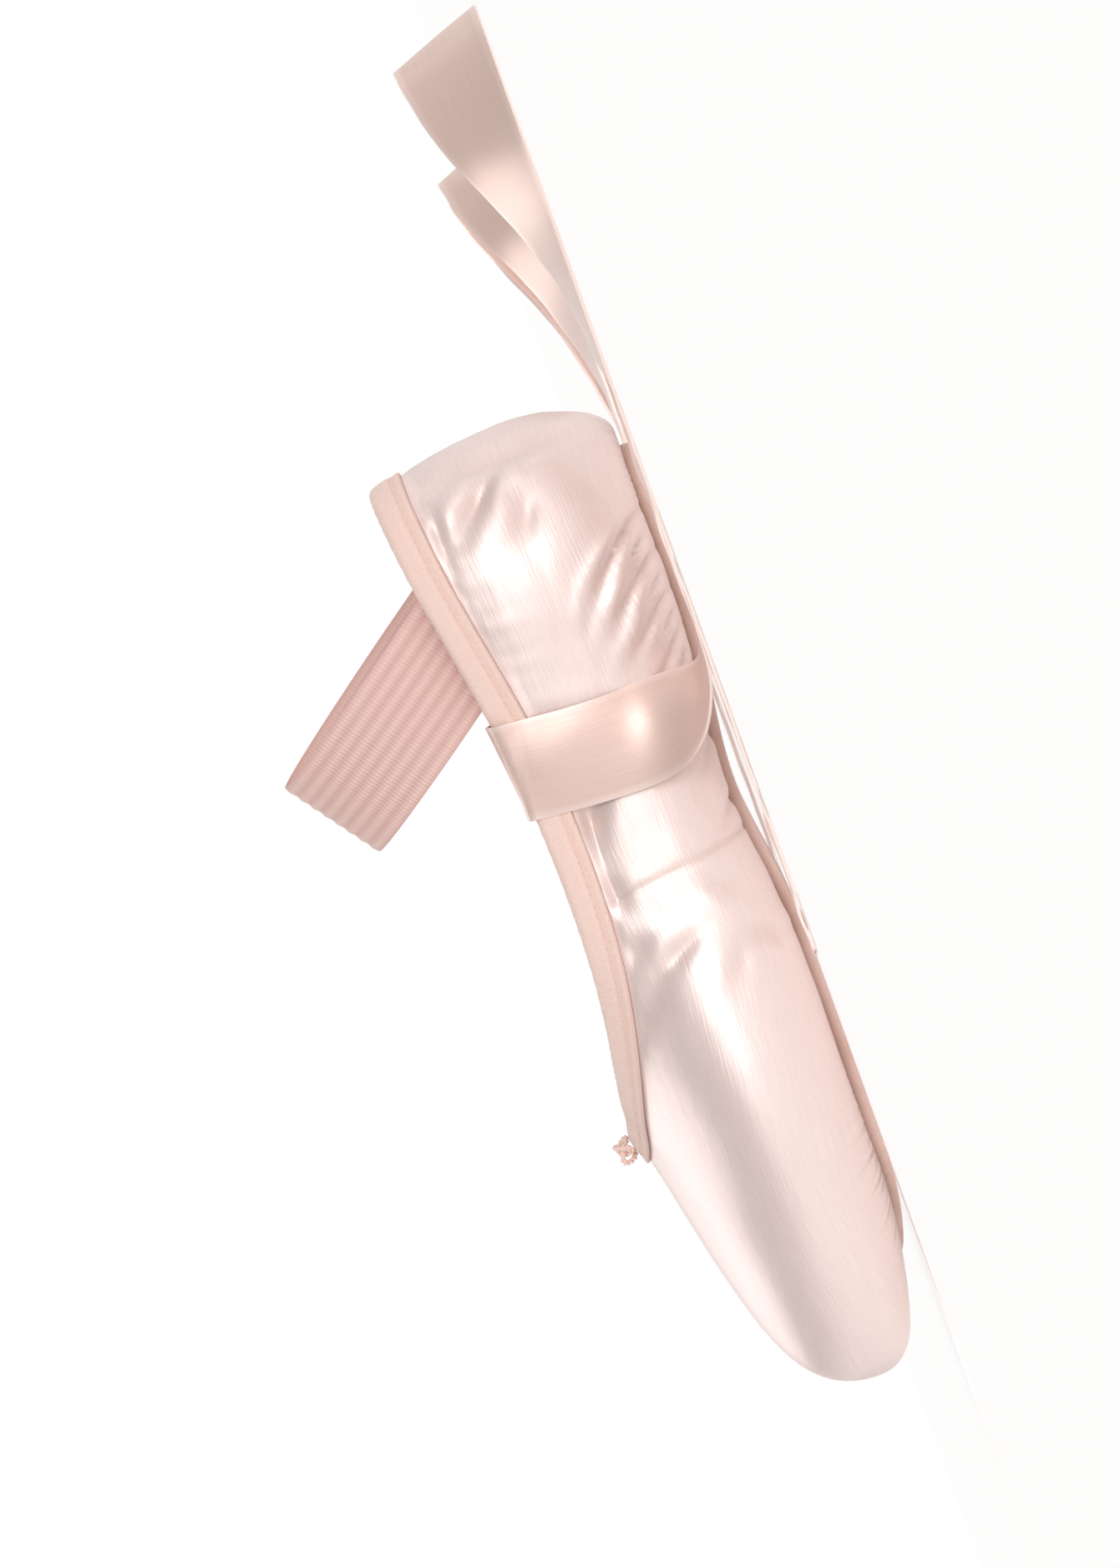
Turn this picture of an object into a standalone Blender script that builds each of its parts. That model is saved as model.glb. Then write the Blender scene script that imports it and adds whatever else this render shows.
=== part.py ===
"""A satin pointe shoe with its ribbons and elastic untied, standing on its sole.

The last is straight, so the shoe fits a left or a right foot. X runs from the heel to the toe, Y to the shoe's
left and Z up from the floor. The origin is on the floor, under the middle of the ball's tread.
Blender works in metres here.
"""

import math
from collections import namedtuple

import bmesh
import bpy
import numpy as np

# Driving sizes of the last.
SHOE_LENGTH = 0.226
BALL_WIDTH = 0.081
HEEL_WIDTH = 0.058
TOE_WIDTH = 0.050
HEEL_HEIGHT = 0.056
QUARTER_HEIGHT = 0.045
THROAT_HEIGHT = 0.051
TOE_HEIGHT = 0.036

# Driving sizes of the sole.
SOLE_BALL_WIDTH = 0.053
SOLE_WAIST_WIDTH = 0.026
SOLE_HEEL_WIDTH = 0.031
SOLE_THICKNESS = 0.0028
SOLE_CHAMFER = 0.0007
ARCH_RISE = 0.0035
TOE_SPRING = 0.0040
HEEL_LIFT = 0.0012

# Walls, layers and the clearance that touching pieces keep.
QUARTER_WALL = 0.0016
BOX_WALL = 0.0030
GAP = 0.0003
SOLE_GAP = 0.0004
GROOVE = 0.0009
SEAM_ALLOWANCE = 0.0060
INSOLE_THICKNESS = 0.0016
INSOLE_CROWN = 0.0006
INSOLE_FRONT = 0.920
BINDING_DEPTH = 0.0066
BINDING_PUFF = 0.0011
BINDING_HEM = 0.0006

# The ties.
RIBBON_WIDTH = 0.022
RIBBON_LENGTH = 0.460
RIBBON_THICKNESS = 0.0005
RIBBON_SEAT = 0.310
RIBBON_SLANT = 0.006
ELASTIC_WIDTH = 0.025
ELASTIC_THICKNESS = 0.0010
ELASTIC_SEAT = 0.180
ELASTIC_SEWN = 0.013
ELASTIC_RISE = 0.048
ELASTIC_SPREAD = 0.004
ELASTIC_TILT = math.radians(36)

# The knot of the drawstring, over the binding at the throat.
STRING_DIAMETER = 0.0010
KNOT_SPAN = (0.0100, 0.0066, 0.0040)

# The sole's line along the floor, in shares of SHOE_LENGTH from the heel's back.
HEEL_TREAD = (0.080, 0.230)
BALL_TREAD = (0.560, 0.775)
SOLE_FRONT = 0.896
ORIGIN_SHARE = (BALL_TREAD[0] + BALL_TREAD[1]) / 2

# Each table has a row for each rib of the upper, from the middle of the heel round the left side to the middle
# of the toe. "along" is a share of SHOE_LENGTH from the heel's back. Every other length is a sum of shares of
# the named sizes: half widths for "heel", "waist", "ball" and "toe", and heights for "up_heel", "up_quarter",
# "up_throat" and "up_toe".
SideRow = namedtuple("SideRow", "place along heel ball toe up_heel up_toe")
SIDE_LINE = (
    SideRow("heel back", 0.000, 0.00, 0.00, 0.00, 0.46, 0.00),
    SideRow("heel turn", 0.033, 0.65, 0.00, 0.00, 0.45, 0.00),
    SideRow("heel side", 0.119, 0.99, 0.00, 0.00, 0.42, 0.00),
    SideRow("arch back", 0.265, 1.01, 0.00, 0.00, 0.38, 0.00),
    SideRow("arch front", 0.420, 0.55, 0.38, 0.00, 0.30, 0.10),
    SideRow("throat side", 0.553, 0.00, 0.91, 0.00, 0.10, 0.40),
    SideRow("ball", 0.668, 0.00, 1.00, 0.00, 0.00, 0.55),
    SideRow("box", 0.805, 0.00, 0.90, 0.00, 0.00, 0.52),
    SideRow("corner", 0.947, 0.00, 0.00, 1.02, 0.00, 0.50),
    SideRow("platform", 0.989, 0.00, 0.00, 0.66, 0.00, 0.50),
    SideRow("tip", 1.000, 0.00, 0.00, 0.00, 0.00, 0.50),
)

SoleRow = namedtuple("SoleRow", "place along heel waist ball")
SOLE_LINE = (
    SoleRow("heel back", 0.058, 0.00, 0.00, 0.00),
    SoleRow("heel turn", 0.075, 0.62, 0.00, 0.00),
    SoleRow("heel side", 0.137, 0.97, 0.00, 0.00),
    SoleRow("arch back", 0.270, 0.20, 0.75, 0.00),
    SoleRow("arch front", 0.420, 0.00, 1.00, 0.02),
    SoleRow("throat side", 0.548, 0.00, 0.20, 0.66),
    SoleRow("ball", 0.660, 0.00, 0.00, 0.99),
    SoleRow("box", 0.770, 0.00, 0.00, 0.94),
    SoleRow("corner", 0.854, 0.00, 0.00, 0.64),
    SoleRow("platform", 0.886, 0.00, 0.00, 0.33),
    SoleRow("tip", SOLE_FRONT, 0.00, 0.00, 0.00),
)

CollarRow = namedtuple("CollarRow", "place along heel ball up_heel up_quarter up_throat")
COLLAR_LINE = (
    CollarRow("heel back", 0.022, 0.00, 0.00, 1.00, 0.00, 0.00),
    CollarRow("heel turn", 0.047, 0.50, 0.00, 0.99, 0.00, 0.00),
    CollarRow("heel side", 0.121, 0.81, 0.00, 0.70, 0.31, 0.00),
    CollarRow("arch back", 0.262, 0.88, 0.00, 0.20, 0.81, 0.00),
    CollarRow("arch front", 0.405, 0.45, 0.34, 0.00, 1.00, 0.00),
    CollarRow("throat side", 0.520, 0.00, 0.66, 0.00, 0.90, 0.10),
    CollarRow("ball", 0.600, 0.00, 0.51, 0.00, 0.45, 0.54),
    CollarRow("box", 0.654, 0.00, 0.32, 0.00, 0.12, 0.87),
    CollarRow("corner", 0.686, 0.00, 0.17, 0.00, 0.01, 0.98),
    CollarRow("platform", 0.697, 0.00, 0.088, 0.00, 0.00, 1.00),
    CollarRow("tip", 0.700, 0.00, 0.00, 0.00, 0.00, 1.00),
)

# How each rib bends. "turn" and "tuck" are the handles of its bend under the foot, as shares of its width and
# height there, and "dip" is how steeply it leaves the sole's edge. "rise" and "reach" are the handles of its
# side, as shares of the side's height and length, and "lean" is its slope inwards at the collar. Angles are in
# degrees. "box" is the share of the stiffened box in the wall.
RibRow = namedtuple("RibRow", "place turn tuck dip rise reach lean box")
RIBS = (
    RibRow("heel back", 0.62, 0.72, 24, 0.40, 0.34, 18, 0.0),
    RibRow("heel turn", 0.62, 0.72, 24, 0.40, 0.34, 19, 0.0),
    RibRow("heel side", 0.64, 0.72, 24, 0.40, 0.34, 19, 0.0),
    RibRow("arch back", 0.64, 0.70, 22, 0.40, 0.34, 16, 0.0),
    RibRow("arch front", 0.64, 0.70, 22, 0.40, 0.34, 18, 0.2),
    RibRow("throat side", 0.64, 0.70, 22, 0.42, 0.34, 32, 0.6),
    RibRow("ball", 0.64, 0.68, 20, 0.46, 0.36, 50, 0.9),
    RibRow("box", 0.60, 0.64, 14, 0.50, 0.44, 66, 1.0),
    RibRow("corner", 0.60, 0.68, 8, 0.60, 0.54, 75, 1.0),
    RibRow("platform", 0.62, 0.72, 6, 0.64, 0.60, 77, 1.0),
    RibRow("tip", 0.62, 0.72, 6, 0.64, 0.60, 77, 1.0),
)

# How finely the solids are faceted.
STEPS_PER_ROW = 4
TURN_STEPS = 5
SIDE_STEPS = 6
BINDING_STEPS = 2
RIBBON_STEPS = 56

# The route of each ribbon's middle after it leaves the quarter, in shares of SHOE_LENGTH: back from its seat,
# out from the shoe's middle line, and up from the floor. "heading" turns the ribbon's width from the toe's
# direction to the outside and "lean" lifts its leading edge, in degrees.
RouteRow = namedtuple("RouteRow", "back out up heading lean")
LEFT_ROUTE = (
    RouteRow(0.004, 0.152, 0.050, 30, 0),
    RouteRow(0.012, 0.168, 0.022, 62, 0),
    RouteRow(0.040, 0.184, 0.005, 84, 0),
    RouteRow(0.090, 0.196, 0.002, 90, 0),
    RouteRow(0.200, 0.206, 0.002, 92, 0),
    RouteRow(0.350, 0.200, 0.002, 86, 2),
    RouteRow(0.490, 0.196, 0.004, 92, 14),
    RouteRow(0.610, 0.215, 0.004, 70, 48),
    RouteRow(0.680, 0.285, 0.004, 25, 68),
    RouteRow(0.672, 0.370, 0.004, -32, 66),
    RouteRow(0.590, 0.440, 0.004, -72, 42),
    RouteRow(0.470, 0.465, 0.004, -90, 12),
    RouteRow(0.340, 0.455, 0.002, -96, 2),
    RouteRow(0.200, 0.440, 0.002, -94, 0),
    RouteRow(0.060, 0.432, 0.002, -92, 0),
    RouteRow(-0.080, 0.430, 0.002, -90, 0),
    RouteRow(-0.220, 0.432, 0.002, -90, 0),
)
RIGHT_ROUTE = (
    RouteRow(0.004, 0.152, 0.050, 30, 0),
    RouteRow(0.012, 0.168, 0.022, 62, 0),
    RouteRow(0.040, 0.184, 0.005, 84, 0),
    RouteRow(0.090, 0.198, 0.002, 94, 0),
    RouteRow(0.200, 0.222, 0.002, 98, 0),
    RouteRow(0.330, 0.246, 0.003, 98, 6),
    RouteRow(0.450, 0.275, 0.004, 84, 30),
    RouteRow(0.535, 0.340, 0.004, 44, 62),
    RouteRow(0.545, 0.430, 0.004, -8, 68),
    RouteRow(0.480, 0.505, 0.004, -56, 50),
    RouteRow(0.375, 0.545, 0.004, -80, 20),
    RouteRow(0.250, 0.555, 0.002, -90, 3),
    RouteRow(0.110, 0.550, 0.002, -94, 0),
    RouteRow(-0.030, 0.535, 0.002, -96, 0),
    RouteRow(-0.170, 0.520, 0.002, -96, 0),
    RouteRow(-0.300, 0.510, 0.002, -94, 0),
    RouteRow(-0.440, 0.506, 0.002, -91, 0),
)

MATERIALS = {
    # Linear base colour, roughness and metallic value.
    "satin": ((0.83, 0.65, 0.58), 0.32, 0.0),
    "cotton_binding": ((0.90, 0.67, 0.59), 0.75, 0.0),
    "satin_ribbon": ((0.74, 0.50, 0.43), 0.35, 0.0),
    "suede_sole": ((0.66, 0.44, 0.36), 0.85, 0.0),
    "canvas_insole": ((0.78, 0.64, 0.54), 0.85, 0.0),
    "ribbed_elastic": ((0.74, 0.52, 0.46), 0.60, 0.0),
    "cotton_string": ((0.86, 0.68, 0.60), 0.80, 0.0),
}


def clear_scene():
    for obj in list(bpy.data.objects):
        bpy.data.objects.remove(obj, do_unlink=True)


def material(name):
    """The Principled material of that name, made once."""
    found = bpy.data.materials.get(name)
    if found:
        return found
    colour, roughness, metallic = MATERIALS[name]
    made = bpy.data.materials.new(name)
    made.use_nodes = True
    shader = made.node_tree.nodes["Principled BSDF"]
    shader.inputs["Base Color"].default_value = (*colour, 1.0)
    shader.inputs["Roughness"].default_value = roughness
    shader.inputs["Metallic"].default_value = metallic
    made.diffuse_color = (*colour, 1.0)
    return made


def add_object(name, points, faces, finish, twisted=False):
    """An object with those points and faces, its doubled points merged and its faces turned outwards. A twisted
    band's faces aren't flat, so they are split into triangles."""
    mesh = bpy.data.meshes.new(name)
    mesh.from_pydata([tuple(p) for p in points], [], faces)
    shape = bmesh.new()
    shape.from_mesh(mesh)
    bmesh.ops.remove_doubles(shape, verts=shape.verts, dist=1e-6)
    if twisted:
        bmesh.ops.triangulate(shape, faces=shape.faces)
    bmesh.ops.recalc_face_normals(shape, faces=shape.faces)
    shape.to_mesh(mesh)
    shape.free()
    mesh.shade_smooth()
    mesh.set_sharp_from_angle(angle=math.radians(50))
    obj = bpy.data.objects.new(name, mesh)
    bpy.context.scene.collection.objects.link(obj)
    mesh.materials.append(material(finish))
    return obj


def unit(vectors):
    """Those vectors at length 1."""
    return vectors / np.maximum(np.linalg.norm(vectors, axis=-1, keepdims=True), 1e-12)


def closed_spline(knots, values, at):
    """A smooth closed curve through values at knots, read at other places. The last knot repeats the first."""
    steps = np.diff(knots)
    count = len(steps)
    system = np.zeros((count, count))
    target = np.zeros((count, values.shape[1]))
    slopes = np.diff(values, axis=0) / steps[:, None]
    for i in range(count):
        before = steps[i - 1]
        system[i, i - 1] += before
        system[i, i] += 2 * (before + steps[i])
        system[i, (i + 1) % count] += steps[i]
        target[i] = 6 * (slopes[i] - slopes[i - 1])
    bends = np.linalg.solve(system, target)
    bends = np.vstack([bends, bends[:1]])
    place = knots[0] + (np.asarray(at, float) - knots[0]) % (knots[-1] - knots[0])
    i = np.clip(np.searchsorted(knots, place, side="right") - 1, 0, count - 1)
    step = steps[i][:, None]
    b = ((place - knots[i])[:, None]) / step
    a = 1 - b
    return (
        a * values[i]
        + b * values[i + 1]
        + ((a**3 - a) * bends[i] + (b**3 - b) * bends[i + 1]) * step**2 / 6
    )


def open_spline(points, at):
    """A smooth open curve through points, a knot for each row, read at shares from 0 to 1."""
    knots = np.linspace(0, 1, len(points))
    # The curve out and back again is closed, and half of it is the open one.
    there_and_back = np.vstack([points, points[-2::-1]])
    knots = np.linspace(0, 2, len(there_and_back))
    return closed_spline(knots, there_and_back, at)


def sole_height(along):
    """The height of the sole's underside above the floor at those shares of the length."""
    along = np.asarray(along, float)
    arch = np.clip((along - HEEL_TREAD[1]) / (BALL_TREAD[0] - HEEL_TREAD[1]), 0, 1)
    spring = np.clip((along - BALL_TREAD[1]) / (SOLE_FRONT - BALL_TREAD[1]), 0, 1.2)
    heel = np.clip((HEEL_TREAD[0] - along) / HEEL_TREAD[0], 0, None)
    return ARCH_RISE * np.sin(math.pi * arch) ** 2 + TOE_SPRING * spring**2 + HEEL_LIFT * heel**2


def table_values():
    """The tables in metres and degrees, one row for each rib: the columns that the ribs are drawn from."""
    rows = []
    for side, sole, collar, rib in zip(SIDE_LINE, SOLE_LINE, COLLAR_LINE, RIBS):
        rows.append(
            (
                side.along * SHOE_LENGTH,
                (side.heel * HEEL_WIDTH + side.ball * BALL_WIDTH + side.toe * TOE_WIDTH) / 2,
                side.up_heel * HEEL_HEIGHT + side.up_toe * TOE_HEIGHT,
                sole.along * SHOE_LENGTH,
                (sole.heel * SOLE_HEEL_WIDTH + sole.waist * SOLE_WAIST_WIDTH + sole.ball * SOLE_BALL_WIDTH) / 2,
                collar.along * SHOE_LENGTH,
                (collar.heel * HEEL_WIDTH + collar.ball * BALL_WIDTH) / 2,
                collar.up_heel * HEEL_HEIGHT
                + collar.up_quarter * QUARTER_HEIGHT
                + collar.up_throat * THROAT_HEIGHT,
                *rib[1:],
            )
        )
    return np.array(rows, float)


class Last:
    """The shoe's form as a closed band of ribs, each from the sole's seam up to the collar."""

    MIRRORED = (1, 4, 6)  # the columns that hold Y

    def __init__(self):
        left = table_values()
        right = left[-2:0:-1].copy()
        right[:, self.MIRRORED] *= -1
        self.values = np.vstack([left, right, left[:1]])
        plan = self.values[:, :2]
        self.knots = np.concatenate([[0], np.cumsum(np.linalg.norm(np.diff(plan, axis=0), axis=1))])
        self.half = len(left) - 1
        self.stations = np.concatenate(
            [
                np.linspace(self.knots[i], self.knots[i + 1], STEPS_PER_ROW, endpoint=False)
                for i in range(len(self.knots) - 1)
            ]
        )

    def columns(self, stations):
        return closed_spline(self.knots, self.values, stations)

    def station(self, along, side):
        """The station where the collar reaches that share of the length, on the left at side 1 or right at -1."""
        fine = np.linspace(0, self.knots[self.half], 400)
        found = np.interp(along * SHOE_LENGTH, self.columns(fine)[:, 5], fine)
        return found if side > 0 else self.knots[-1] - found

    def ribs(self, stations, turn_steps=TURN_STEPS, side_steps=SIDE_STEPS, binding_steps=BINDING_STEPS):
        """The outer face: points by station and by step up the rib, which starts under the sole's edge."""
        c = self.columns(stations)
        side, sole, collar = c[:, 0:3], c[:, 3:5], c[:, 5:8]
        turn, tuck, dip, rise, reach, lean = (c[:, k : k + 1] for k in range(8, 14))
        up = np.array([0.0, 0.0, 1.0])
        flat = np.array([1.0, 1.0, 0.0])
        seat = np.column_stack([sole, sole_height(sole[:, 0] / SHOE_LENGTH) + SOLE_THICKNESS + SOLE_GAP])
        outward = unit((side - seat) * flat)
        seam = seat - outward * SEAM_ALLOWANCE
        seam[:, 2] = sole_height(seam[:, 0] / SHOE_LENGTH) + SOLE_THICKNESS + SOLE_GAP
        edge = seat + outward * GROOVE
        width = np.linalg.norm((side - edge) * flat, axis=1, keepdims=True)
        dip, lean = np.radians(dip), np.radians(lean)
        low = bezier(
            edge,
            edge + (outward * np.cos(dip) - up * np.sin(dip)) * turn * width,
            side - up * tuck * (side - edge)[:, 2:],
            side,
            np.linspace(0, 1, turn_steps + 1),
        )
        inward = unit((collar - side) * flat)
        long = np.linalg.norm(collar - side, axis=1, keepdims=True)
        handles = (
            side,
            side + up * rise * (collar - side)[:, 2:],
            collar - (inward * np.sin(lean) + up * np.cos(lean)) * reach * long,
            collar,
        )
        high = self.by_distance(handles, side_steps, binding_steps)
        return np.concatenate([seam[:, None], low, high[:, 1:]], axis=1)

    @staticmethod
    def by_distance(handles, side_steps, binding_steps):
        """The ribs' sides, with the last steps spaced over the depth of the binding."""
        shares = np.linspace(0, 1, 80)
        rows = []
        for line in bezier(*handles, shares):
            run = np.concatenate([[0], np.cumsum(np.linalg.norm(np.diff(line, axis=0), axis=1))])
            tape = np.interp(np.linspace(run[-1] - BINDING_DEPTH, run[-1], binding_steps + 1), run, shares)
            at = np.concatenate([np.linspace(0, tape[0], side_steps + 1), tape[1:]])
            rows.append(np.column_stack([np.interp(at, shares, line[:, k]) for k in range(3)]))
        return np.array(rows)

    def walls(self, stations, outer):
        """The wall's thickness at each point of the outer face."""
        box = self.columns(stations)[:, 14:15]
        count = outer.shape[1]
        body = np.ones(count)
        body[-(BINDING_STEPS + 1) :] = 0
        body[-(BINDING_STEPS + 2)] = 0.5
        body[:2] = 0
        return QUARTER_WALL + (BOX_WALL - QUARTER_WALL) * box * body[None, :]


def bezier(a, b, c, d, shares):
    """Cubic curves with those ends and handles, one for each row, as points by row and share."""
    t = shares[None, :, None]
    a, b, c, d = (p[:, None, :] for p in (a, b, c, d))
    return (1 - t) ** 3 * a + 3 * (1 - t) ** 2 * t * b + 3 * (1 - t) * t**2 * c + t**3 * d


def outward_normals(grid):
    """The outward normals of a closed band of ribs."""
    round_it = np.roll(grid, -1, axis=0) - np.roll(grid, 1, axis=0)
    up_it = np.gradient(grid, axis=1)
    return unit(np.cross(round_it, up_it)) * -1


def in_frame(points):
    """Points measured from the heel's back, moved so that the origin lies under the ball's tread."""
    return np.asarray(points, float) - np.array([ORIGIN_SHARE * SHOE_LENGTH, 0.0, 0.0])


def loop_faces(count, ring, closed_ring=True):
    """Quads between the rings of a closed band: count rings of that many points."""
    faces = []
    for i in range(count):
        j = (i + 1) % count
        for k in range(ring if closed_ring else ring - 1):
            m = (k + 1) % ring
            faces.append((i * ring + k, j * ring + k, j * ring + m, i * ring + m))
    return faces


def make_upper(last):
    """The hollow upper: satin over canvas at the quarters, and the stiffened box at the toe."""
    outer = last.ribs(last.stations)
    normals = outward_normals(outer)
    inner = outer - normals * last.walls(last.stations, outer)[:, :, None]
    section = np.concatenate([outer, inner[:, ::-1]], axis=1)
    points = in_frame(section).reshape(-1, 3)
    add_object("upper", points, loop_faces(len(section), section.shape[1]), "satin")
    return outer, inner, normals


def plate(name, rings, finish):
    """A closed solid from rings that all follow the same stations: each ring meets the next, and the first
    and last rings are drawn together onto the middle line."""
    rings = [np.asarray(r, float) for r in rings]
    spines = [on_middle(rings[0]), on_middle(rings[-1])]
    section = np.stack([spines[0], *rings, spines[1]], axis=1)
    points = in_frame(section).reshape(-1, 3)
    add_object(name, points, loop_faces(len(section), section.shape[1], closed_ring=False), finish)


def on_middle(ring):
    """The ring drawn in onto the middle line, where its left and right halves meet."""
    count = len(ring)
    other = ring[(-np.arange(count)) % count]
    middle = (ring + other) / 2
    middle[:, 1] = 0
    return middle


def level(plan, lift):
    """A ring in plan, laid at a height above the sole's underside."""
    plan = np.asarray(plan, float)[:, :2]
    return np.column_stack([plan, sole_height(plan[:, 0] / SHOE_LENGTH) + lift])


def drawn_in(ring, by):
    """A ring in plan, moved in square to its own line."""
    along = unit(np.roll(ring, -1, axis=0)[:, :2] - np.roll(ring, 1, axis=0)[:, :2])
    inward = np.column_stack([-along[:, 1], along[:, 0]])
    centre = ring[:, :2].mean(axis=0)
    inward *= np.sign(((centre - ring[:, :2]) * inward).sum(axis=1).mean())
    return ring[:, :2] + inward * by


def make_outsole(last):
    """The leather outsole: narrow, flat under heel and ball, raised at the arch and sprung at its front."""
    c = last.columns(last.stations)
    outline = c[:, 3:5]
    under = drawn_in(outline, SOLE_CHAMFER)
    rings = [
        level(half_way(under), 0),
        level(under, 0),
        level(outline, SOLE_CHAMFER),
        level(outline, SOLE_THICKNESS),
        level(half_way(outline), SOLE_THICKNESS),
    ]
    plate("outsole", rings, "suede_sole")


def half_way(ring):
    """A ring half way from that one to the middle line."""
    middle = on_middle(np.column_stack([ring[:, :2], np.zeros(len(ring))]))
    return (ring[:, :2] + middle[:, :2]) / 2


def make_insole(last, inner):
    """The insole board: it covers the floor inside, and steps down between the turned-in seams."""
    seam_top = SOLE_THICKNESS + SOLE_GAP + QUARTER_WALL
    under = seam_top + GAP * 2
    outline = inside_at(inner, under)
    seam = last.ribs(last.stations)[:, 0, :2]
    step = drawn_in(seam, GAP * 2)
    rings = [
        level(half_way(step), SOLE_THICKNESS + SOLE_GAP),
        level(step, SOLE_THICKNESS + SOLE_GAP),
        level(step, under),
        level(outline, under),
        level(outline, under + INSOLE_THICKNESS),
        level(half_way(outline), under + INSOLE_THICKNESS + INSOLE_CROWN),
    ]
    plate("insole", rings, "canvas_insole")


def inside_at(inner, lift):
    """The plan of the upper's inner face just below that height above the sole's underside, less a gap."""
    ring = []
    for rib in inner:
        above = rib[:, 2] - sole_height(rib[:, 0] / SHOE_LENGTH) - lift
        k = max(i for i in range(len(rib) - 4) if above[i] < -GAP)
        share = np.clip((-GAP - above[k]) / (above[k + 1] - above[k]), 0, 1)
        ring.append(rib[k] + share * (rib[k + 1] - rib[k]))
    ring = np.array(ring)
    ring[:, 0] = np.minimum(ring[:, 0], INSOLE_FRONT * SHOE_LENGTH)
    return drawn_in(ring, GAP * 2)


def make_binding(outer, inner, normals):
    """The binding: a folded tape round the collar's edge, puffed out by the drawstring that runs inside it."""
    first = outer.shape[1] - 1 - BINDING_STEPS
    outside, inside, n = outer[:, first:], inner[:, first:], normals[:, first:]
    up = unit(outside[:, -1] - outside[:, -2])
    puff = np.array([BINDING_HEM] + [BINDING_PUFF] * BINDING_STEPS)[None, :, None]
    outer_face = outside + n * (GAP + puff)
    inner_face = inside - n * (GAP + puff)
    crown = (outside[:, -1] + inside[:, -1]) / 2 + up * (GAP + BINDING_PUFF * 1.5)
    shoulders = [
        outer_face[:, -1] + up * (GAP + BINDING_PUFF * 0.6),
        crown,
        inner_face[:, -1] + up * (GAP + BINDING_PUFF * 0.6),
    ]
    channel_outer = outside + n * GAP
    channel_inner = inside - n * GAP
    channel_outer[:, -1] += up * GAP
    channel_inner[:, -1] += up * GAP
    section = np.concatenate(
        [
            channel_outer[:, :1],
            outer_face[:, :-1],
            np.stack(shoulders, axis=1),
            inner_face[:, :-1][:, ::-1],
            channel_inner,
            channel_outer[:, :0:-1],
        ],
        axis=1,
    )
    points = in_frame(section).reshape(-1, 3)
    add_object("binding", points, loop_faces(len(section), section.shape[1]), "cotton_binding")


def strip(name, middle, across, width, thickness, finish, slant=0.0, columns=3):
    """A flat band of that width along a middle line, its width along "across", lifted where the floor is."""
    along = unit(np.gradient(middle, axis=0))
    across = unit(across - along * (across * along).sum(axis=1, keepdims=True))
    shares = np.linspace(-0.5, 0.5, columns)
    grid = middle[:, None] + across[:, None] * (shares * width)[None, :, None]
    grid[-1] += along[-1] * (shares * slant)[:, None]
    face = np.cross(along, across)[:, None] * thickness / 2
    section = np.concatenate([grid + face, (grid - face)[:, ::-1]], axis=1)
    section[:, :, 2] -= np.minimum(section[:, :, 2].min(axis=1), 0)[:, None]
    rings, count = section.shape[:2]
    faces = loop_faces(rings, count)[: (rings - 1) * count]
    for end in (0, rings - 1):
        faces += [
            (end * count + k, end * count + k + 1, (end + 1) * count - k - 2, (end + 1) * count - k - 1)
            for k in range(columns - 1)
        ]
    add_object(name, in_frame(section).reshape(-1, 3), faces, finish, twisted=True)


def evenly(points, extra, length, steps):
    """A smooth line through points, with its extra columns, read at even distances over that length."""
    table = open_spline(np.hstack([points, extra]), np.linspace(0, 1, 40 * len(points)))
    run = np.concatenate([[0], np.cumsum(np.linalg.norm(np.diff(table[:, :3], axis=0), axis=1))])
    at = np.linspace(0, min(length, run[-1]), steps)
    read = np.column_stack([np.interp(at, run, table[:, k]) for k in range(table.shape[1])])
    return read[:, :3], read[:, 3:]


def over_binding(last, along, side, inside_depth):
    """The line of a band over the collar: up inside the quarter, over the binding and down to the side's widest
    point, with the direction of its width at each point."""
    centre = last.station(along, side)
    stations = centre + np.array([-1, 0, 1]) * RIBBON_WIDTH / 2 * side
    near = last.ribs(stations, TURN_STEPS, 8, BINDING_STEPS)
    round_it = unit(near[2] - near[0])
    up_it = unit(np.gradient(near[1], axis=0))
    normal = unit(np.cross(up_it, round_it)) * side
    middle = near[1]
    clear = GAP * 4 + BINDING_PUFF + RIBBON_THICKNESS / 2
    inner = middle - normal * (QUARTER_WALL + clear)
    outside = middle + normal * clear
    crown = middle[-1] - normal[-1] * QUARTER_WALL / 2 + up_it[-1] * (GAP * 5 + BINDING_PUFF * 1.5)
    shoulder = up_it[-1] * BINDING_PUFF * 1.3
    first = len(middle) - 1 - BINDING_STEPS - inside_depth
    line = np.vstack(
        [
            inner[first:],
            inner[-1:] + shoulder,
            crown[None],
            outside[-1:] + shoulder,
            outside[:TURN_STEPS:-1],
        ]
    )
    width = np.vstack(
        [round_it[first:], round_it[-1:], round_it[-1:], round_it[-1:], round_it[:TURN_STEPS:-1]]
    )
    return line, width


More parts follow.
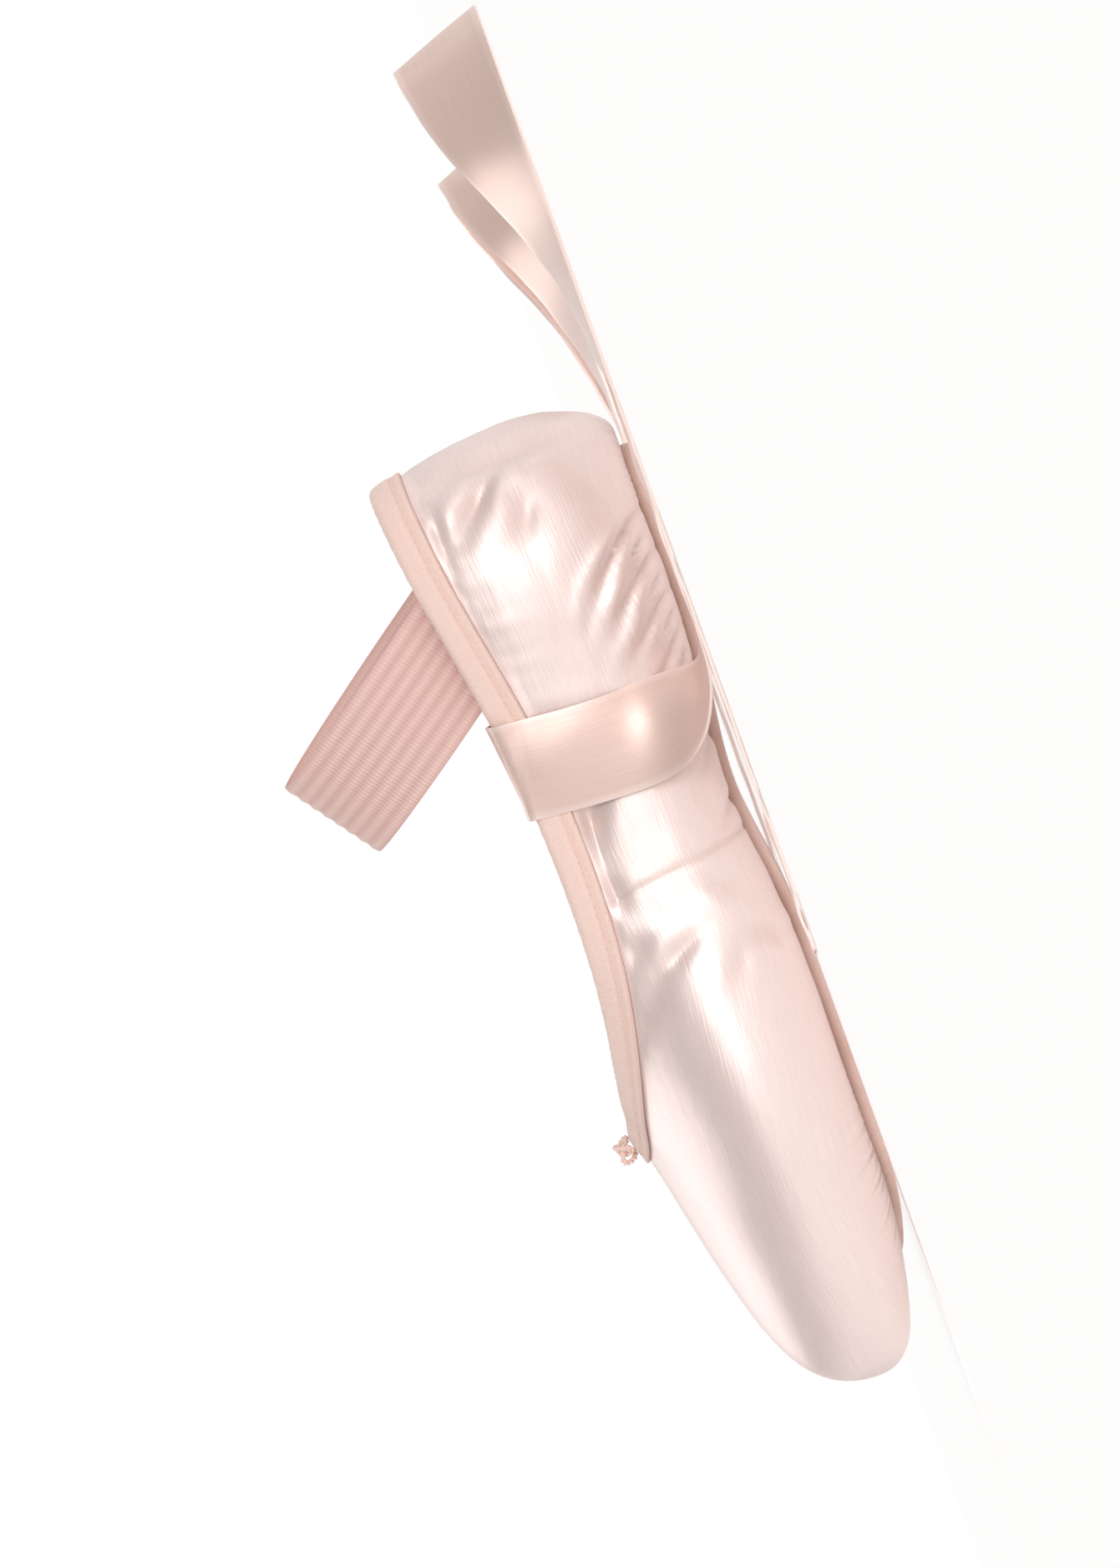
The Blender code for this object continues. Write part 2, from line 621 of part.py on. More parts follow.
def make_ribbon(last, name, side, route):
    """A satin ribbon: sewn inside its quarter, folded over the binding, then lying on the floor at its side."""
    over, width = over_binding(last, RIBBON_SEAT, side, 2)
    seat = np.array([RIBBON_SEAT * SHOE_LENGTH, 0.0, 0.0])
    rows = np.array([row[:] for row in route], float)
    free = seat + rows[:, :3] * np.array([-1.0, side, 1.0]) * SHOE_LENGTH
    heading, lean = np.radians(rows[:, 3]), np.radians(rows[:, 4])
    turned = np.column_stack(
        [np.cos(heading) * np.cos(lean), side * np.sin(heading) * np.cos(lean), np.sin(lean)]
    )
    fold_run = np.linalg.norm(np.diff(over, axis=0), axis=1).sum()
    middle, across = evenly(
        np.vstack([over[-1:], free]), np.vstack([width[-1:], turned]), RIBBON_LENGTH - fold_run, RIBBON_STEPS
    )
    middle = np.vstack([over[:-1], middle])
    across = unit(np.vstack([width[:-1], across]))
    strip(name, middle, across, RIBBON_WIDTH, RIBBON_THICKNESS, "satin_ribbon", RIBBON_SLANT)


def make_elastic(last):
    """The elastic: a ribbed band sewn inside both quarters, which stands in the arch that an ankle gave it."""
    behind = ELASTIC_WIDTH / 2 * math.cos(ELASTIC_TILT) + ELASTIC_SEWN * 0.6 * math.sin(ELASTIC_TILT)
    places = (ELASTIC_SEAT, ELASTIC_SEAT - behind / SHOE_LENGTH)
    collar, narrowest = last.columns([last.station(place, 1) for place in places])[:, 5:8]
    half = narrowest[1] - (QUARTER_WALL + BINDING_PUFF + GAP * 2 + ELASTIC_THICKNESS / 2)
    rise = np.array([math.sin(ELASTIC_TILT), 0.0, math.cos(ELASTIC_TILT)])
    outward = np.array([0.0, 1.0, 0.0])
    handles = [
        outward * half,
        outward * (half + ELASTIC_SPREAD) + rise * ELASTIC_RISE * 0.40,
        outward * half * 0.85 + rise * ELASTIC_RISE,
        rise * ELASTIC_RISE,
    ]
    arch = bezier(*(h[None] for h in handles), np.linspace(0, 1, 15))[0]
    foot = np.array([outward * half - rise * ELASTIC_SEWN * share for share in (1.0, 0.5)])
    left = collar * np.array([1.0, 0.0, 1.0]) + np.vstack([foot, arch])
    right = left[-2::-1] * np.array([1.0, -1.0, 1.0])
    middle = np.vstack([left, right])
    across = np.tile([math.cos(ELASTIC_TILT), 0.0, -math.sin(ELASTIC_TILT)], (len(middle), 1))
    strip("elastic_strap", middle, across, ELASTIC_WIDTH, ELASTIC_THICKNESS, "ribbed_elastic")


def make_knot(last):
    """The drawstring's knot: a cord drawn into a trefoil, lying on the binding at the throat's middle."""
    tip = last.knots[last.half]
    rib = last.ribs(np.array([tip - 0.002, tip, tip + 0.002]))[1]
    up_it = unit(rib[-1] - rib[-2])
    over = np.array([up_it[2], 0.0, -up_it[0]])
    turns = np.linspace(0, 2 * math.pi, 36, endpoint=False)
    x, y, z = (np.sin(turns) + 2 * np.sin(2 * turns), np.cos(turns) - 2 * np.cos(2 * turns), -np.sin(3 * turns))
    wide, deep, high = (span / 2 for span in KNOT_SPAN)
    clear = BINDING_PUFF + GAP * 2 + high
    centre = rib[-1] - up_it * deep * 0.5 + over * clear
    line = (
        centre
        + np.outer(x / 3, [0.0, 1.0, 0.0]) * (wide - STRING_DIAMETER / 2)
        + np.outer(y / 3, up_it) * (deep - STRING_DIAMETER / 2)
        + np.outer(z, over) * (high - STRING_DIAMETER / 2)
    )
    ahead = unit(np.roll(line, -1, axis=0) - np.roll(line, 1, axis=0))
    first = unit(np.cross(ahead, over))
    second = np.cross(ahead, first)
    sides = np.linspace(0, 2 * math.pi, 6, endpoint=False)
    section = (
        line[:, None]
        + (first[:, None] * np.cos(sides)[:, None] + second[:, None] * np.sin(sides)[:, None])
        * STRING_DIAMETER
        / 2
    )
    faces = loop_faces(*section.shape[:2])
    add_object("drawstring_knot", in_frame(section).reshape(-1, 3), faces, "cotton_string", twisted=True)


def main():
    clear_scene()
    last = Last()
    outer, inner, normals = make_upper(last)
    make_outsole(last)
    make_insole(last, inner)
    make_binding(outer, inner, normals)
    make_ribbon(last, "ribbon_left", 1, LEFT_ROUTE)
    make_ribbon(last, "ribbon_right", -1, RIGHT_ROUTE)
    make_elastic(last)
    make_knot(last)


main()
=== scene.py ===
# %% [markdown]
# A satin pointe shoe, standing on its sole with its ribbons untied.
#
# A pointe shoe is sewn inside out over a straight last: canvas and satin make one thin wall, paste and
# more canvas stiffen the box at the toe, and the satin is pleated in under a narrow leather sole. The shoe
# here is worn, so its satin has folds at the heel and the waist. The form comes first, then each piece,
# then light.

# %% The frame that every piece is fitted to
import math
from collections import namedtuple

import bmesh
import bpy
import numpy as np
from mathutils import Matrix, Vector


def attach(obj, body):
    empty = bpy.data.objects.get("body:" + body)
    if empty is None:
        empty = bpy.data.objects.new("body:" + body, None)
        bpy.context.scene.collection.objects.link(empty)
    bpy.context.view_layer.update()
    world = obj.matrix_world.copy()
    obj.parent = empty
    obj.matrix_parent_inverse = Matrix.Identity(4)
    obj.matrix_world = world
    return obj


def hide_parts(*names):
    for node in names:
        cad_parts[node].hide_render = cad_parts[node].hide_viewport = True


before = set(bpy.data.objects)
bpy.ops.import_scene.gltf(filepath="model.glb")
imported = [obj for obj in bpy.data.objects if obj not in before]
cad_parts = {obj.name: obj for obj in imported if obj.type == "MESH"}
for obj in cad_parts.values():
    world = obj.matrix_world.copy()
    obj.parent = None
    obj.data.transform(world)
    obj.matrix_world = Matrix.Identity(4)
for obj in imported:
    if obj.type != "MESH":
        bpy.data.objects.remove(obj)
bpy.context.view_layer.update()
print("solids:", ", ".join(sorted(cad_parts)))

# %% [markdown]
# ## The camera
#
# The photo shows the shoe from its left side, with the toe pointing down and the heel up. The camera keeps
# that view: it stands on the floor at the shoe's left, a little behind it, and is rolled until the toe
# points down and a little right. It can't go below the floor, so the sole is seen from its edge. A long
# lens from 1.6 metres away keeps the near and the far side of the shoe almost the same size, as in the
# photo.

# %% The camera, rolled until the toe points down
CAMERA_AZIMUTH = math.radians(187)
CAMERA_DISTANCE = 1.60
CAMERA_ABOVE_FLOOR = 0.012
TOE_IN_VIEW = Vector((0.343, -0.940))
VIEW_HEIGHT = 0.345
VIEW_CENTRE = Vector((-0.072, 0.0, 0.040))
SENSOR = 0.036


def add_camera():
    """The camera, with the toe's direction turned to TOE_IN_VIEW in the picture."""
    data = bpy.data.cameras.new("camera")
    data.sensor_fit = "VERTICAL"
    data.sensor_height = SENSOR * 1000
    data.lens = SENSOR * 1000 * CAMERA_DISTANCE / VIEW_HEIGHT
    data.clip_start, data.clip_end = 0.05, 60.0
    camera = bpy.data.objects.new("camera", data)
    bpy.context.scene.collection.objects.link(camera)
    place = VIEW_CENTRE + CAMERA_DISTANCE * Vector((math.sin(CAMERA_AZIMUTH), -math.cos(CAMERA_AZIMUTH), 0.0))
    place.z = CAMERA_ABOVE_FLOOR
    back = (place - VIEW_CENTRE).normalized()
    toe = Vector((1.0, 0.0, 0.0))
    toe = (toe - back * toe.dot(back)).normalized()
    across = back.cross(toe)
    right = toe * TOE_IN_VIEW.x - across * TOE_IN_VIEW.y
    up = toe * TOE_IN_VIEW.y + across * TOE_IN_VIEW.x
    camera.matrix_world = Matrix.Translation(place) @ Matrix((right, up, back)).transposed().to_4x4()
    bpy.context.scene.camera = camera
    return camera


camera = add_camera()
print("view height %.0f mm, lens %.0f mm" % (VIEW_HEIGHT * 1000, camera.data.lens))

# %% [markdown]
# ## Helpers
#
# Colours are picked as sRGB hex values, as from a swatch, and Blender's sockets want linear numbers, so
# one function turns one into the other. Another adds a node and joins it up in one line, in a material or
# in a Geometry Nodes tree alike, and a few short ones call it for what most materials need. The last makes
# an object from points and faces.

# %% Helpers for colours, nodes and meshes
MM = 0.001


def from_hex(code):
    """The linear colour of an sRGB hex value such as #E9CBC2."""
    values = [int(code[i : i + 2], 16) / 255 for i in (1, 3, 5)]
    return (*(v / 12.92 if v <= 0.04045 else ((v + 0.055) / 1.055) ** 2.4 for v in values), 1.0)


def add_node(tree, kind, inputs=None, **settings):
    """A new node in a tree. An input's value is a number, a colour or the output that feeds it."""
    made = tree.nodes.new(kind)
    for name, value in settings.items():
        setattr(made, name, value)
    for key, value in (inputs or {}).items():
        if isinstance(value, bpy.types.NodeSocket):
            tree.links.new(value, made.inputs[key])
        else:
            made.inputs[key].default_value = value
    return made


def new_material(name, values):
    """A material with its Principled shader set to those values, as the material, its tree and the shader."""
    made = bpy.data.materials.new(name)
    made.use_nodes = True
    shader = made.node_tree.nodes["Principled BSDF"]
    for socket, value in values.items():
        shader.inputs[socket].default_value = value
    return made, made.node_tree, shader


def add_noise(tree, place, scale, detail):
    """The output of a noise texture read at that place."""
    made = add_node(tree, "ShaderNodeTexNoise", {"Vector": place, "Scale": scale, "Detail": detail})
    return made.outputs["Fac"]


def cloth_place(tree, scale=None):
    """The cloth's own coordinates, times the scale if there is one."""
    cloth = add_node(tree, "ShaderNodeUVMap", uv_map="cloth").outputs["UV"]
    if scale is None:
        return cloth
    return add_node(tree, "ShaderNodeMapping", {"Vector": cloth, "Scale": scale}).outputs["Vector"]


def shade_of(tree):
    """The shade that the mesh holds for each of its points."""
    return add_node(tree, "ShaderNodeAttribute", attribute_name="shade").outputs["Fac"]


def mixed_colour(tree, share, low, high):
    """The output of a node that blends from the low colour to the high one by that share."""
    made = add_node(tree, "ShaderNodeMix", {"Factor": share, "A": low, "B": high}, data_type="RGBA")
    return made.outputs["Result"]


def finish_with(tree, shader, colour, height, depth, strength):
    """Gives the shader its colour and a bump of that depth from that height."""
    tree.links.new(colour, shader.inputs["Base Color"])
    bump = add_node(tree, "ShaderNodeBump", {"Height": height, "Distance": depth, "Strength": strength})
    tree.links.new(bump.outputs["Normal"], shader.inputs["Normal"])


def shine_along_threads(tree, shader):
    """Turns the shader's stretched highlights by the cloth's own coordinates."""
    way = add_node(tree, "ShaderNodeTangent", direction_type="UV_MAP", uv_map="cloth")
    tree.links.new(way.outputs["Tangent"], shader.inputs["Tangent"])


def unit(vectors):
    """Those vectors at length 1."""
    return vectors / np.maximum(np.linalg.norm(vectors, axis=-1, keepdims=True), 1e-12)


def run_along(line):
    """How far along a line of points each of them lies."""
    return np.concatenate([[0], np.cumsum(np.linalg.norm(np.diff(line, axis=0), axis=1))])


def add_piece(name, points, faces, finish, uv=None, shade=None, finish_of_face=None):
    """An object in the shared frame. "uv" and "shade" hold a value for each point."""
    mesh = bpy.data.meshes.new(name)
    faces = faces.tolist() if isinstance(faces, np.ndarray) else faces
    mesh.from_pydata(np.asarray(points, float).tolist(), [], faces)
    finishes = finish if isinstance(finish, (list, tuple)) else [finish]
    for one in finishes:
        mesh.materials.append(one)
    if finish_of_face is not None:
        mesh.polygons.foreach_set("material_index", np.asarray(finish_of_face, np.int32))
    if uv is not None:
        layer = mesh.uv_layers.new(name="cloth")
        corner = np.empty(len(mesh.loops), np.int32)
        mesh.loops.foreach_get("vertex_index", corner)
        layer.data.foreach_set("uv", np.asarray(uv, np.float32)[corner].ravel())
    if shade is not None:
        layer = mesh.attributes.new("shade", "FLOAT", "POINT")
        layer.data.foreach_set("value", np.asarray(shade, np.float32).ravel())
    shape = bmesh.new()
    shape.from_mesh(mesh)
    bmesh.ops.delete(shape, geom=[v for v in shape.verts if not v.link_faces], context="VERTS")
    bmesh.ops.recalc_face_normals(shape, faces=shape.faces)
    shape.to_mesh(mesh)
    shape.free()
    mesh.shade_smooth()
    piece = bpy.data.objects.new(name, mesh)
    bpy.context.scene.collection.objects.link(piece)
    return piece


def band_faces(count, ring, joined=True):
    """Quads between that many rings of points. A joined band meets its first ring again."""
    i = np.arange(count if joined else count - 1)[:, None]
    k = np.arange(ring)[None, :]
    j, m = (i + 1) % count, (k + 1) % ring
    return np.stack([i * ring + k, j * ring + k, j * ring + m, i * ring + m], axis=-1).reshape(-1, 4)


def smooth_step(value, low, high):
    """0 below low, 1 above high and a soft step between."""
    share = np.clip((np.asarray(value, float) - low) / (high - low), 0, 1)
    return share * share * (3 - 2 * share)


# %% [markdown]
# ## The last
#
# A shoe is formed over a last. Here the last is a closed band of ribs: each rib starts under the sole's
# edge, bends out to the side and climbs to the collar. Three short tables say where each rib leaves the
# sole, where it is widest and where it ends, and a fourth how it bends. A smooth closed curve through the
# rows gives a rib at any place, so the same functions make the satin, the binding, the sole and the insole
# fit.

# %% The sizes of the last
SHOE_LENGTH = 226 * MM
BALL_WIDTH, HEEL_WIDTH, TOE_WIDTH = 81 * MM, 58 * MM, 50 * MM
HEEL_HEIGHT, QUARTER_HEIGHT, THROAT_HEIGHT, TOE_HEIGHT = 56 * MM, 45 * MM, 51 * MM, 36 * MM
SOLE_BALL_WIDTH, SOLE_WAIST_WIDTH, SOLE_HEEL_WIDTH = 53 * MM, 26 * MM, 31 * MM
SOLE_THICKNESS, SOLE_CHAMFER = 2.8 * MM, 0.7 * MM
ARCH_RISE, TOE_SPRING, HEEL_LIFT = 3.5 * MM, 4.0 * MM, 1.2 * MM
QUARTER_WALL, BOX_WALL = 1.6 * MM, 3.0 * MM
GAP, SOLE_GAP, GROOVE, SEAM_ALLOWANCE = 0.3 * MM, 0.4 * MM, 0.9 * MM, 6.0 * MM
BINDING_DEPTH, BINDING_PUFF, BINDING_HEM = 6.6 * MM, 1.1 * MM, 0.6 * MM
INSOLE_THICKNESS, INSOLE_CROWN, INSOLE_FRONT = 1.6 * MM, 0.6 * MM, 0.920
HEEL_TREAD, BALL_TREAD, SOLE_FRONT = (0.080, 0.230), (0.560, 0.775), 0.896
ORIGIN_SHARE = (BALL_TREAD[0] + BALL_TREAD[1]) / 2

# A row for each rib, from the middle of the heel round the left side to the middle of the toe. "along" is a
# share of SHOE_LENGTH from the heel's back. The rest are shares of half widths and of heights.
SideRow = namedtuple("SideRow", "place along heel ball toe up_heel up_toe")
SIDE_LINE = (
    SideRow("heel back", 0.000, 0.00, 0.00, 0.00, 0.46, 0.00),
    SideRow("heel turn", 0.033, 0.65, 0.00, 0.00, 0.45, 0.00),
    SideRow("heel side", 0.119, 0.99, 0.00, 0.00, 0.42, 0.00),
    SideRow("arch back", 0.265, 1.01, 0.00, 0.00, 0.38, 0.00),
    SideRow("arch front", 0.420, 0.55, 0.38, 0.00, 0.30, 0.10),
    SideRow("throat side", 0.553, 0.00, 0.91, 0.00, 0.10, 0.40),
    SideRow("ball", 0.668, 0.00, 1.00, 0.00, 0.00, 0.55),
    SideRow("box", 0.805, 0.00, 0.90, 0.00, 0.00, 0.52),
    SideRow("corner", 0.947, 0.00, 0.00, 1.02, 0.00, 0.50),
    SideRow("platform", 0.989, 0.00, 0.00, 0.66, 0.00, 0.50),
    SideRow("tip", 1.000, 0.00, 0.00, 0.00, 0.00, 0.50),
)

SoleRow = namedtuple("SoleRow", "place along heel waist ball")
SOLE_LINE = (
    SoleRow("heel back", 0.058, 0.00, 0.00, 0.00),
    SoleRow("heel turn", 0.075, 0.62, 0.00, 0.00),
    SoleRow("heel side", 0.137, 0.97, 0.00, 0.00),
    SoleRow("arch back", 0.270, 0.20, 0.75, 0.00),
    SoleRow("arch front", 0.420, 0.00, 1.00, 0.02),
    SoleRow("throat side", 0.548, 0.00, 0.20, 0.66),
    SoleRow("ball", 0.660, 0.00, 0.00, 0.99),
    SoleRow("box", 0.770, 0.00, 0.00, 0.94),
    SoleRow("corner", 0.854, 0.00, 0.00, 0.64),
    SoleRow("platform", 0.886, 0.00, 0.00, 0.33),
    SoleRow("tip", SOLE_FRONT, 0.00, 0.00, 0.00),
)

CollarRow = namedtuple("CollarRow", "place along heel ball up_heel up_quarter up_throat")
COLLAR_LINE = (
    CollarRow("heel back", 0.022, 0.00, 0.00, 1.00, 0.00, 0.00),
    CollarRow("heel turn", 0.047, 0.50, 0.00, 0.99, 0.00, 0.00),
    CollarRow("heel side", 0.121, 0.81, 0.00, 0.70, 0.31, 0.00),
    CollarRow("arch back", 0.262, 0.88, 0.00, 0.20, 0.81, 0.00),
    CollarRow("arch front", 0.405, 0.45, 0.34, 0.00, 1.00, 0.00),
    CollarRow("throat side", 0.520, 0.00, 0.66, 0.00, 0.90, 0.10),
    CollarRow("ball", 0.600, 0.00, 0.51, 0.00, 0.45, 0.54),
    CollarRow("box", 0.654, 0.00, 0.32, 0.00, 0.12, 0.87),
    CollarRow("corner", 0.686, 0.00, 0.17, 0.00, 0.01, 0.98),
    CollarRow("platform", 0.697, 0.00, 0.088, 0.00, 0.00, 1.00),
    CollarRow("tip", 0.700, 0.00, 0.00, 0.00, 0.00, 1.00),
)

RibRow = namedtuple("RibRow", "place turn tuck dip rise reach lean box")
RIBS = (
    RibRow("heel back", 0.62, 0.72, 24, 0.40, 0.34, 18, 0.0),
    RibRow("heel turn", 0.62, 0.72, 24, 0.40, 0.34, 19, 0.0),
    RibRow("heel side", 0.64, 0.72, 24, 0.40, 0.34, 19, 0.0),
    RibRow("arch back", 0.64, 0.70, 22, 0.40, 0.34, 16, 0.0),
    RibRow("arch front", 0.64, 0.70, 22, 0.40, 0.34, 18, 0.2),
    RibRow("throat side", 0.64, 0.70, 22, 0.42, 0.34, 32, 0.6),
    RibRow("ball", 0.64, 0.68, 20, 0.46, 0.36, 50, 0.9),
    RibRow("box", 0.60, 0.64, 14, 0.50, 0.44, 66, 1.0),
    RibRow("corner", 0.60, 0.68, 8, 0.60, 0.54, 75, 1.0),
    RibRow("platform", 0.62, 0.72, 6, 0.64, 0.60, 77, 1.0),
    RibRow("tip", 0.62, 0.72, 6, 0.64, 0.60, 77, 1.0),
)


# %% The functions that read the last at any place
def closed_spline(knots, values, at):
    """A smooth closed curve through values at knots, read at places. The last knot is the first again."""
    steps = np.diff(knots)
    count = len(steps)
    system = np.zeros((count, count))
    target = np.zeros((count, values.shape[1]))
    slopes = np.diff(values, axis=0) / steps[:, None]
    for i in range(count):
        before = steps[i - 1]
        system[i, i - 1] += before
        system[i, i] += 2 * (before + steps[i])
        system[i, (i + 1) % count] += steps[i]
        target[i] = 6 * (slopes[i] - slopes[i - 1])
    bends = np.linalg.solve(system, target)
    bends = np.vstack([bends, bends[:1]])
    place = knots[0] + (np.asarray(at, float) - knots[0]) % (knots[-1] - knots[0])
    i = np.clip(np.searchsorted(knots, place, side="right") - 1, 0, count - 1)
    step = steps[i][:, None]
    b = ((place - knots[i])[:, None]) / step
    a = 1 - b
    return (
        a * values[i]
        + b * values[i + 1]
        + ((a**3 - a) * bends[i] + (b**3 - b) * bends[i + 1]) * step**2 / 6
    )


def open_spline(points, at):
    """A smooth open curve through points, read at shares from 0 to 1."""
    there_and_back = np.vstack([points, points[-2::-1]])
    return closed_spline(np.linspace(0, 2, len(there_and_back)), there_and_back, at)


def bezier(a, b, c, d, shares):
    """Cubic curves with those ends and handles, one for each row, as points by row and share."""
    t = shares[None, :, None]
    a, b, c, d = (p[:, None, :] for p in (a, b, c, d))
    return (1 - t) ** 3 * a + 3 * (1 - t) ** 2 * t * b + 3 * (1 - t) * t**2 * c + t**3 * d


def sole_height(along):
    """The height of the sole's underside above the floor at those shares of the length."""
    along = np.asarray(along, float)
    arch = np.clip((along - HEEL_TREAD[1]) / (BALL_TREAD[0] - HEEL_TREAD[1]), 0, 1)
    spring = np.clip((along - BALL_TREAD[1]) / (SOLE_FRONT - BALL_TREAD[1]), 0, 1.2)
    heel = np.clip((HEEL_TREAD[0] - along) / HEEL_TREAD[0], 0, None)
    return ARCH_RISE * np.sin(math.pi * arch) ** 2 + TOE_SPRING * spring**2 + HEEL_LIFT * heel**2


def last_table():
    """The tables in metres and degrees as one closed loop: left side, then right side, then the first row."""
    left = []
    for side, sole, collar, rib in zip(SIDE_LINE, SOLE_LINE, COLLAR_LINE, RIBS):
        side_width = side.heel * HEEL_WIDTH + side.ball * BALL_WIDTH + side.toe * TOE_WIDTH
        side_height = side.up_heel * HEEL_HEIGHT + side.up_toe * TOE_HEIGHT
        sole_width = sole.heel * SOLE_HEEL_WIDTH + sole.waist * SOLE_WAIST_WIDTH + sole.ball * SOLE_BALL_WIDTH
        collar_width = collar.heel * HEEL_WIDTH + collar.ball * BALL_WIDTH
        collar_height = collar.up_heel * HEEL_HEIGHT + collar.up_quarter * QUARTER_HEIGHT
        collar_height += collar.up_throat * THROAT_HEIGHT
        left.append(
            (
                side.along * SHOE_LENGTH,
                side_width / 2,
                side_height,
                sole.along * SHOE_LENGTH,
                sole_width / 2,
                collar.along * SHOE_LENGTH,
                collar_width / 2,
                collar_height,
                *rib[1:],
            )
        )
    left = np.array(left, float)
    right = left[-2:0:-1].copy()
    right[:, (1, 4, 6)] *= -1
    return np.vstack([left, right, left[:1]])


LAST = last_table()
LAST_KNOTS = run_along(LAST[:, :2])
ROUND = LAST_KNOTS[-1]
TIP = LAST_KNOTS[len(SIDE_LINE) - 1]


def even_stations(count):
    """That many stations round the last, evenly spaced."""
    return np.linspace(0, ROUND, count, endpoint=False)


def station_at(along, side):
    """The station where the collar reaches that share of the length, on the left at side 1 or right at -1."""
    fine = np.linspace(0, TIP, 400)
    found = np.interp(along * SHOE_LENGTH, closed_spline(LAST_KNOTS, LAST, fine)[:, 5], fine)
    return found if side > 0 else ROUND - found


def last_ribs(stations, turn_steps, side_steps, tape_steps):
    """The last's face: points by station and by step up the rib, which starts under the sole's edge."""
    c = closed_spline(LAST_KNOTS, LAST, stations)
    side, sole, collar = c[:, 0:3], c[:, 3:5], c[:, 5:8]
    turn, tuck, dip, rise, reach, lean = (c[:, k : k + 1] for k in range(8, 14))
    up = np.array([0.0, 0.0, 1.0])
    flat = np.array([1.0, 1.0, 0.0])
    seat = np.column_stack([sole, sole_height(sole[:, 0] / SHOE_LENGTH) + SOLE_THICKNESS + SOLE_GAP])
    outward = unit((side - seat) * flat)
    seam = seat - outward * SEAM_ALLOWANCE
    seam[:, 2] = sole_height(seam[:, 0] / SHOE_LENGTH) + SOLE_THICKNESS + SOLE_GAP
    edge = seat + outward * GROOVE
    width = np.linalg.norm((side - edge) * flat, axis=1, keepdims=True)
    dip, lean = np.radians(dip), np.radians(lean)
    low = bezier(
        edge,
        edge + (outward * np.cos(dip) - up * np.sin(dip)) * turn * width,
        side - up * tuck * (side - edge)[:, 2:],
        side,
        np.linspace(0, 1, turn_steps + 1),
    )
    inward = unit((collar - side) * flat)
    long = np.linalg.norm(collar - side, axis=1, keepdims=True)
    shares = np.linspace(0, 1, 80)
    high = bezier(
        side,
        side + up * rise * (collar - side)[:, 2:],
        collar - (inward * np.sin(lean) + up * np.cos(lean)) * reach * long,
        collar,
        shares,
    )
    rows = []
    for line in high:
        run = run_along(line)
        tape = np.interp(np.linspace(run[-1] - BINDING_DEPTH, run[-1], tape_steps + 1), run, shares)
        at = np.concatenate([np.linspace(0, tape[0], side_steps + 1), tape[1:]])
        rows.append(np.column_stack([np.interp(at, shares, line[:, k]) for k in range(3)]))
    return np.concatenate([seam[:, None], low, np.array(rows)[:, 1:]], axis=1)


def outward_normals(grid):
    """The outward normals of a closed band of ribs."""
    round_it = np.roll(grid, -1, axis=0) - np.roll(grid, 1, axis=0)
    return -unit(np.cross(round_it, np.gradient(grid, axis=1)))


def in_frame(points):
    """Points measured from the heel's back, moved so that the origin lies under the ball's tread."""
    return np.asarray(points, float) - np.array([ORIGIN_SHARE * SHOE_LENGTH, 0.0, 0.0])


print("round the last: %.0f mm" % (ROUND / MM))

# %% [markdown]
# ## Satin
#
# Duchess satin is woven so that long silky threads lie over the face, all one way. They throw a broad soft
# light that runs along the cloth. Silk is a dielectric, but its threads lie so close that they mirror like a
# stack of thin rods, and a small metallic share gives that tinted lustre. The highlights are stretched across
# the threads, with a little sheen. The real threads are a tenth of a millimetre, too fine to show here, so
# the slubs that they make together are drawn a few times as coarse. An attribute of the mesh named shade
# darkens the colour: painted shade in its creases, seams and pleats and in the groove beside the sole, and
# real wear at the platform.

# %% The satin of the upper
SATIN_LIGHT = from_hex("#F1DDD8")
# The darker colour that the shade attribute blends to: painted shade in creases, seams, pleats and the groove
# by the sole, and real wear at the platform.
SATIN_SHADE_AND_SOIL = from_hex("#C5A091")
SLUB_WIDTH, SLUB_LENGTH = 0.5 * MM, 9 * MM


def satin_material(name, light, shade_and_soil_colour, roughness):
    """Satin whose threads run along the cloth's u direction."""
    made, tree, shader = new_material(
        name,
        {
            "Roughness": roughness,
            "Anisotropic": 0.55,
            "Metallic": 0.26,
            "Specular IOR Level": 0.90,
            "Sheen Weight": 0.10,
            "Sheen Roughness": 0.30,
        },
    )
    thread = add_noise(tree, cloth_place(tree, (1 / SLUB_LENGTH, 1 / SLUB_WIDTH, 1.0)), 1.0, 3.0)
    place = add_node(tree, "ShaderNodeTexCoord")
    patchy = add_node(
        tree,
        "ShaderNodeMapRange",
        {
            "Value": add_noise(tree, place.outputs["Object"], 55.0, 4.0),
            "From Min": 0.35,
            "From Max": 0.75,
            "To Min": 0.75,
            "To Max": 1.25,
        },
    )
    # The shade attribute, made patchy, darkens the satin: painted shade in folds, seams, pleats and the
    # sole's groove, and real wear at the platform.
    painted_shade_and_soil = add_node(
        tree, "ShaderNodeMath", {0: shade_of(tree), 1: patchy.outputs["Result"]}, operation="MULTIPLY"
    )
    threads = add_node(
        tree,
        "ShaderNodeMapRange",
        {"Value": thread, "From Min": 0.3, "From Max": 0.7, "To Min": 0.0, "To Max": 0.14},
    )
    total = add_node(
        tree,
        "ShaderNodeMath",
        {0: painted_shade_and_soil.outputs["Value"], 1: threads.outputs["Result"]},
        operation="ADD",
        use_clamp=True,
    )
    colour = mixed_colour(tree, total.outputs["Value"], light, shade_and_soil_colour)
    finish_with(tree, shader, colour, thread, 0.07 * MM, 0.8)
    shine_along_threads(tree, shader)
    return made


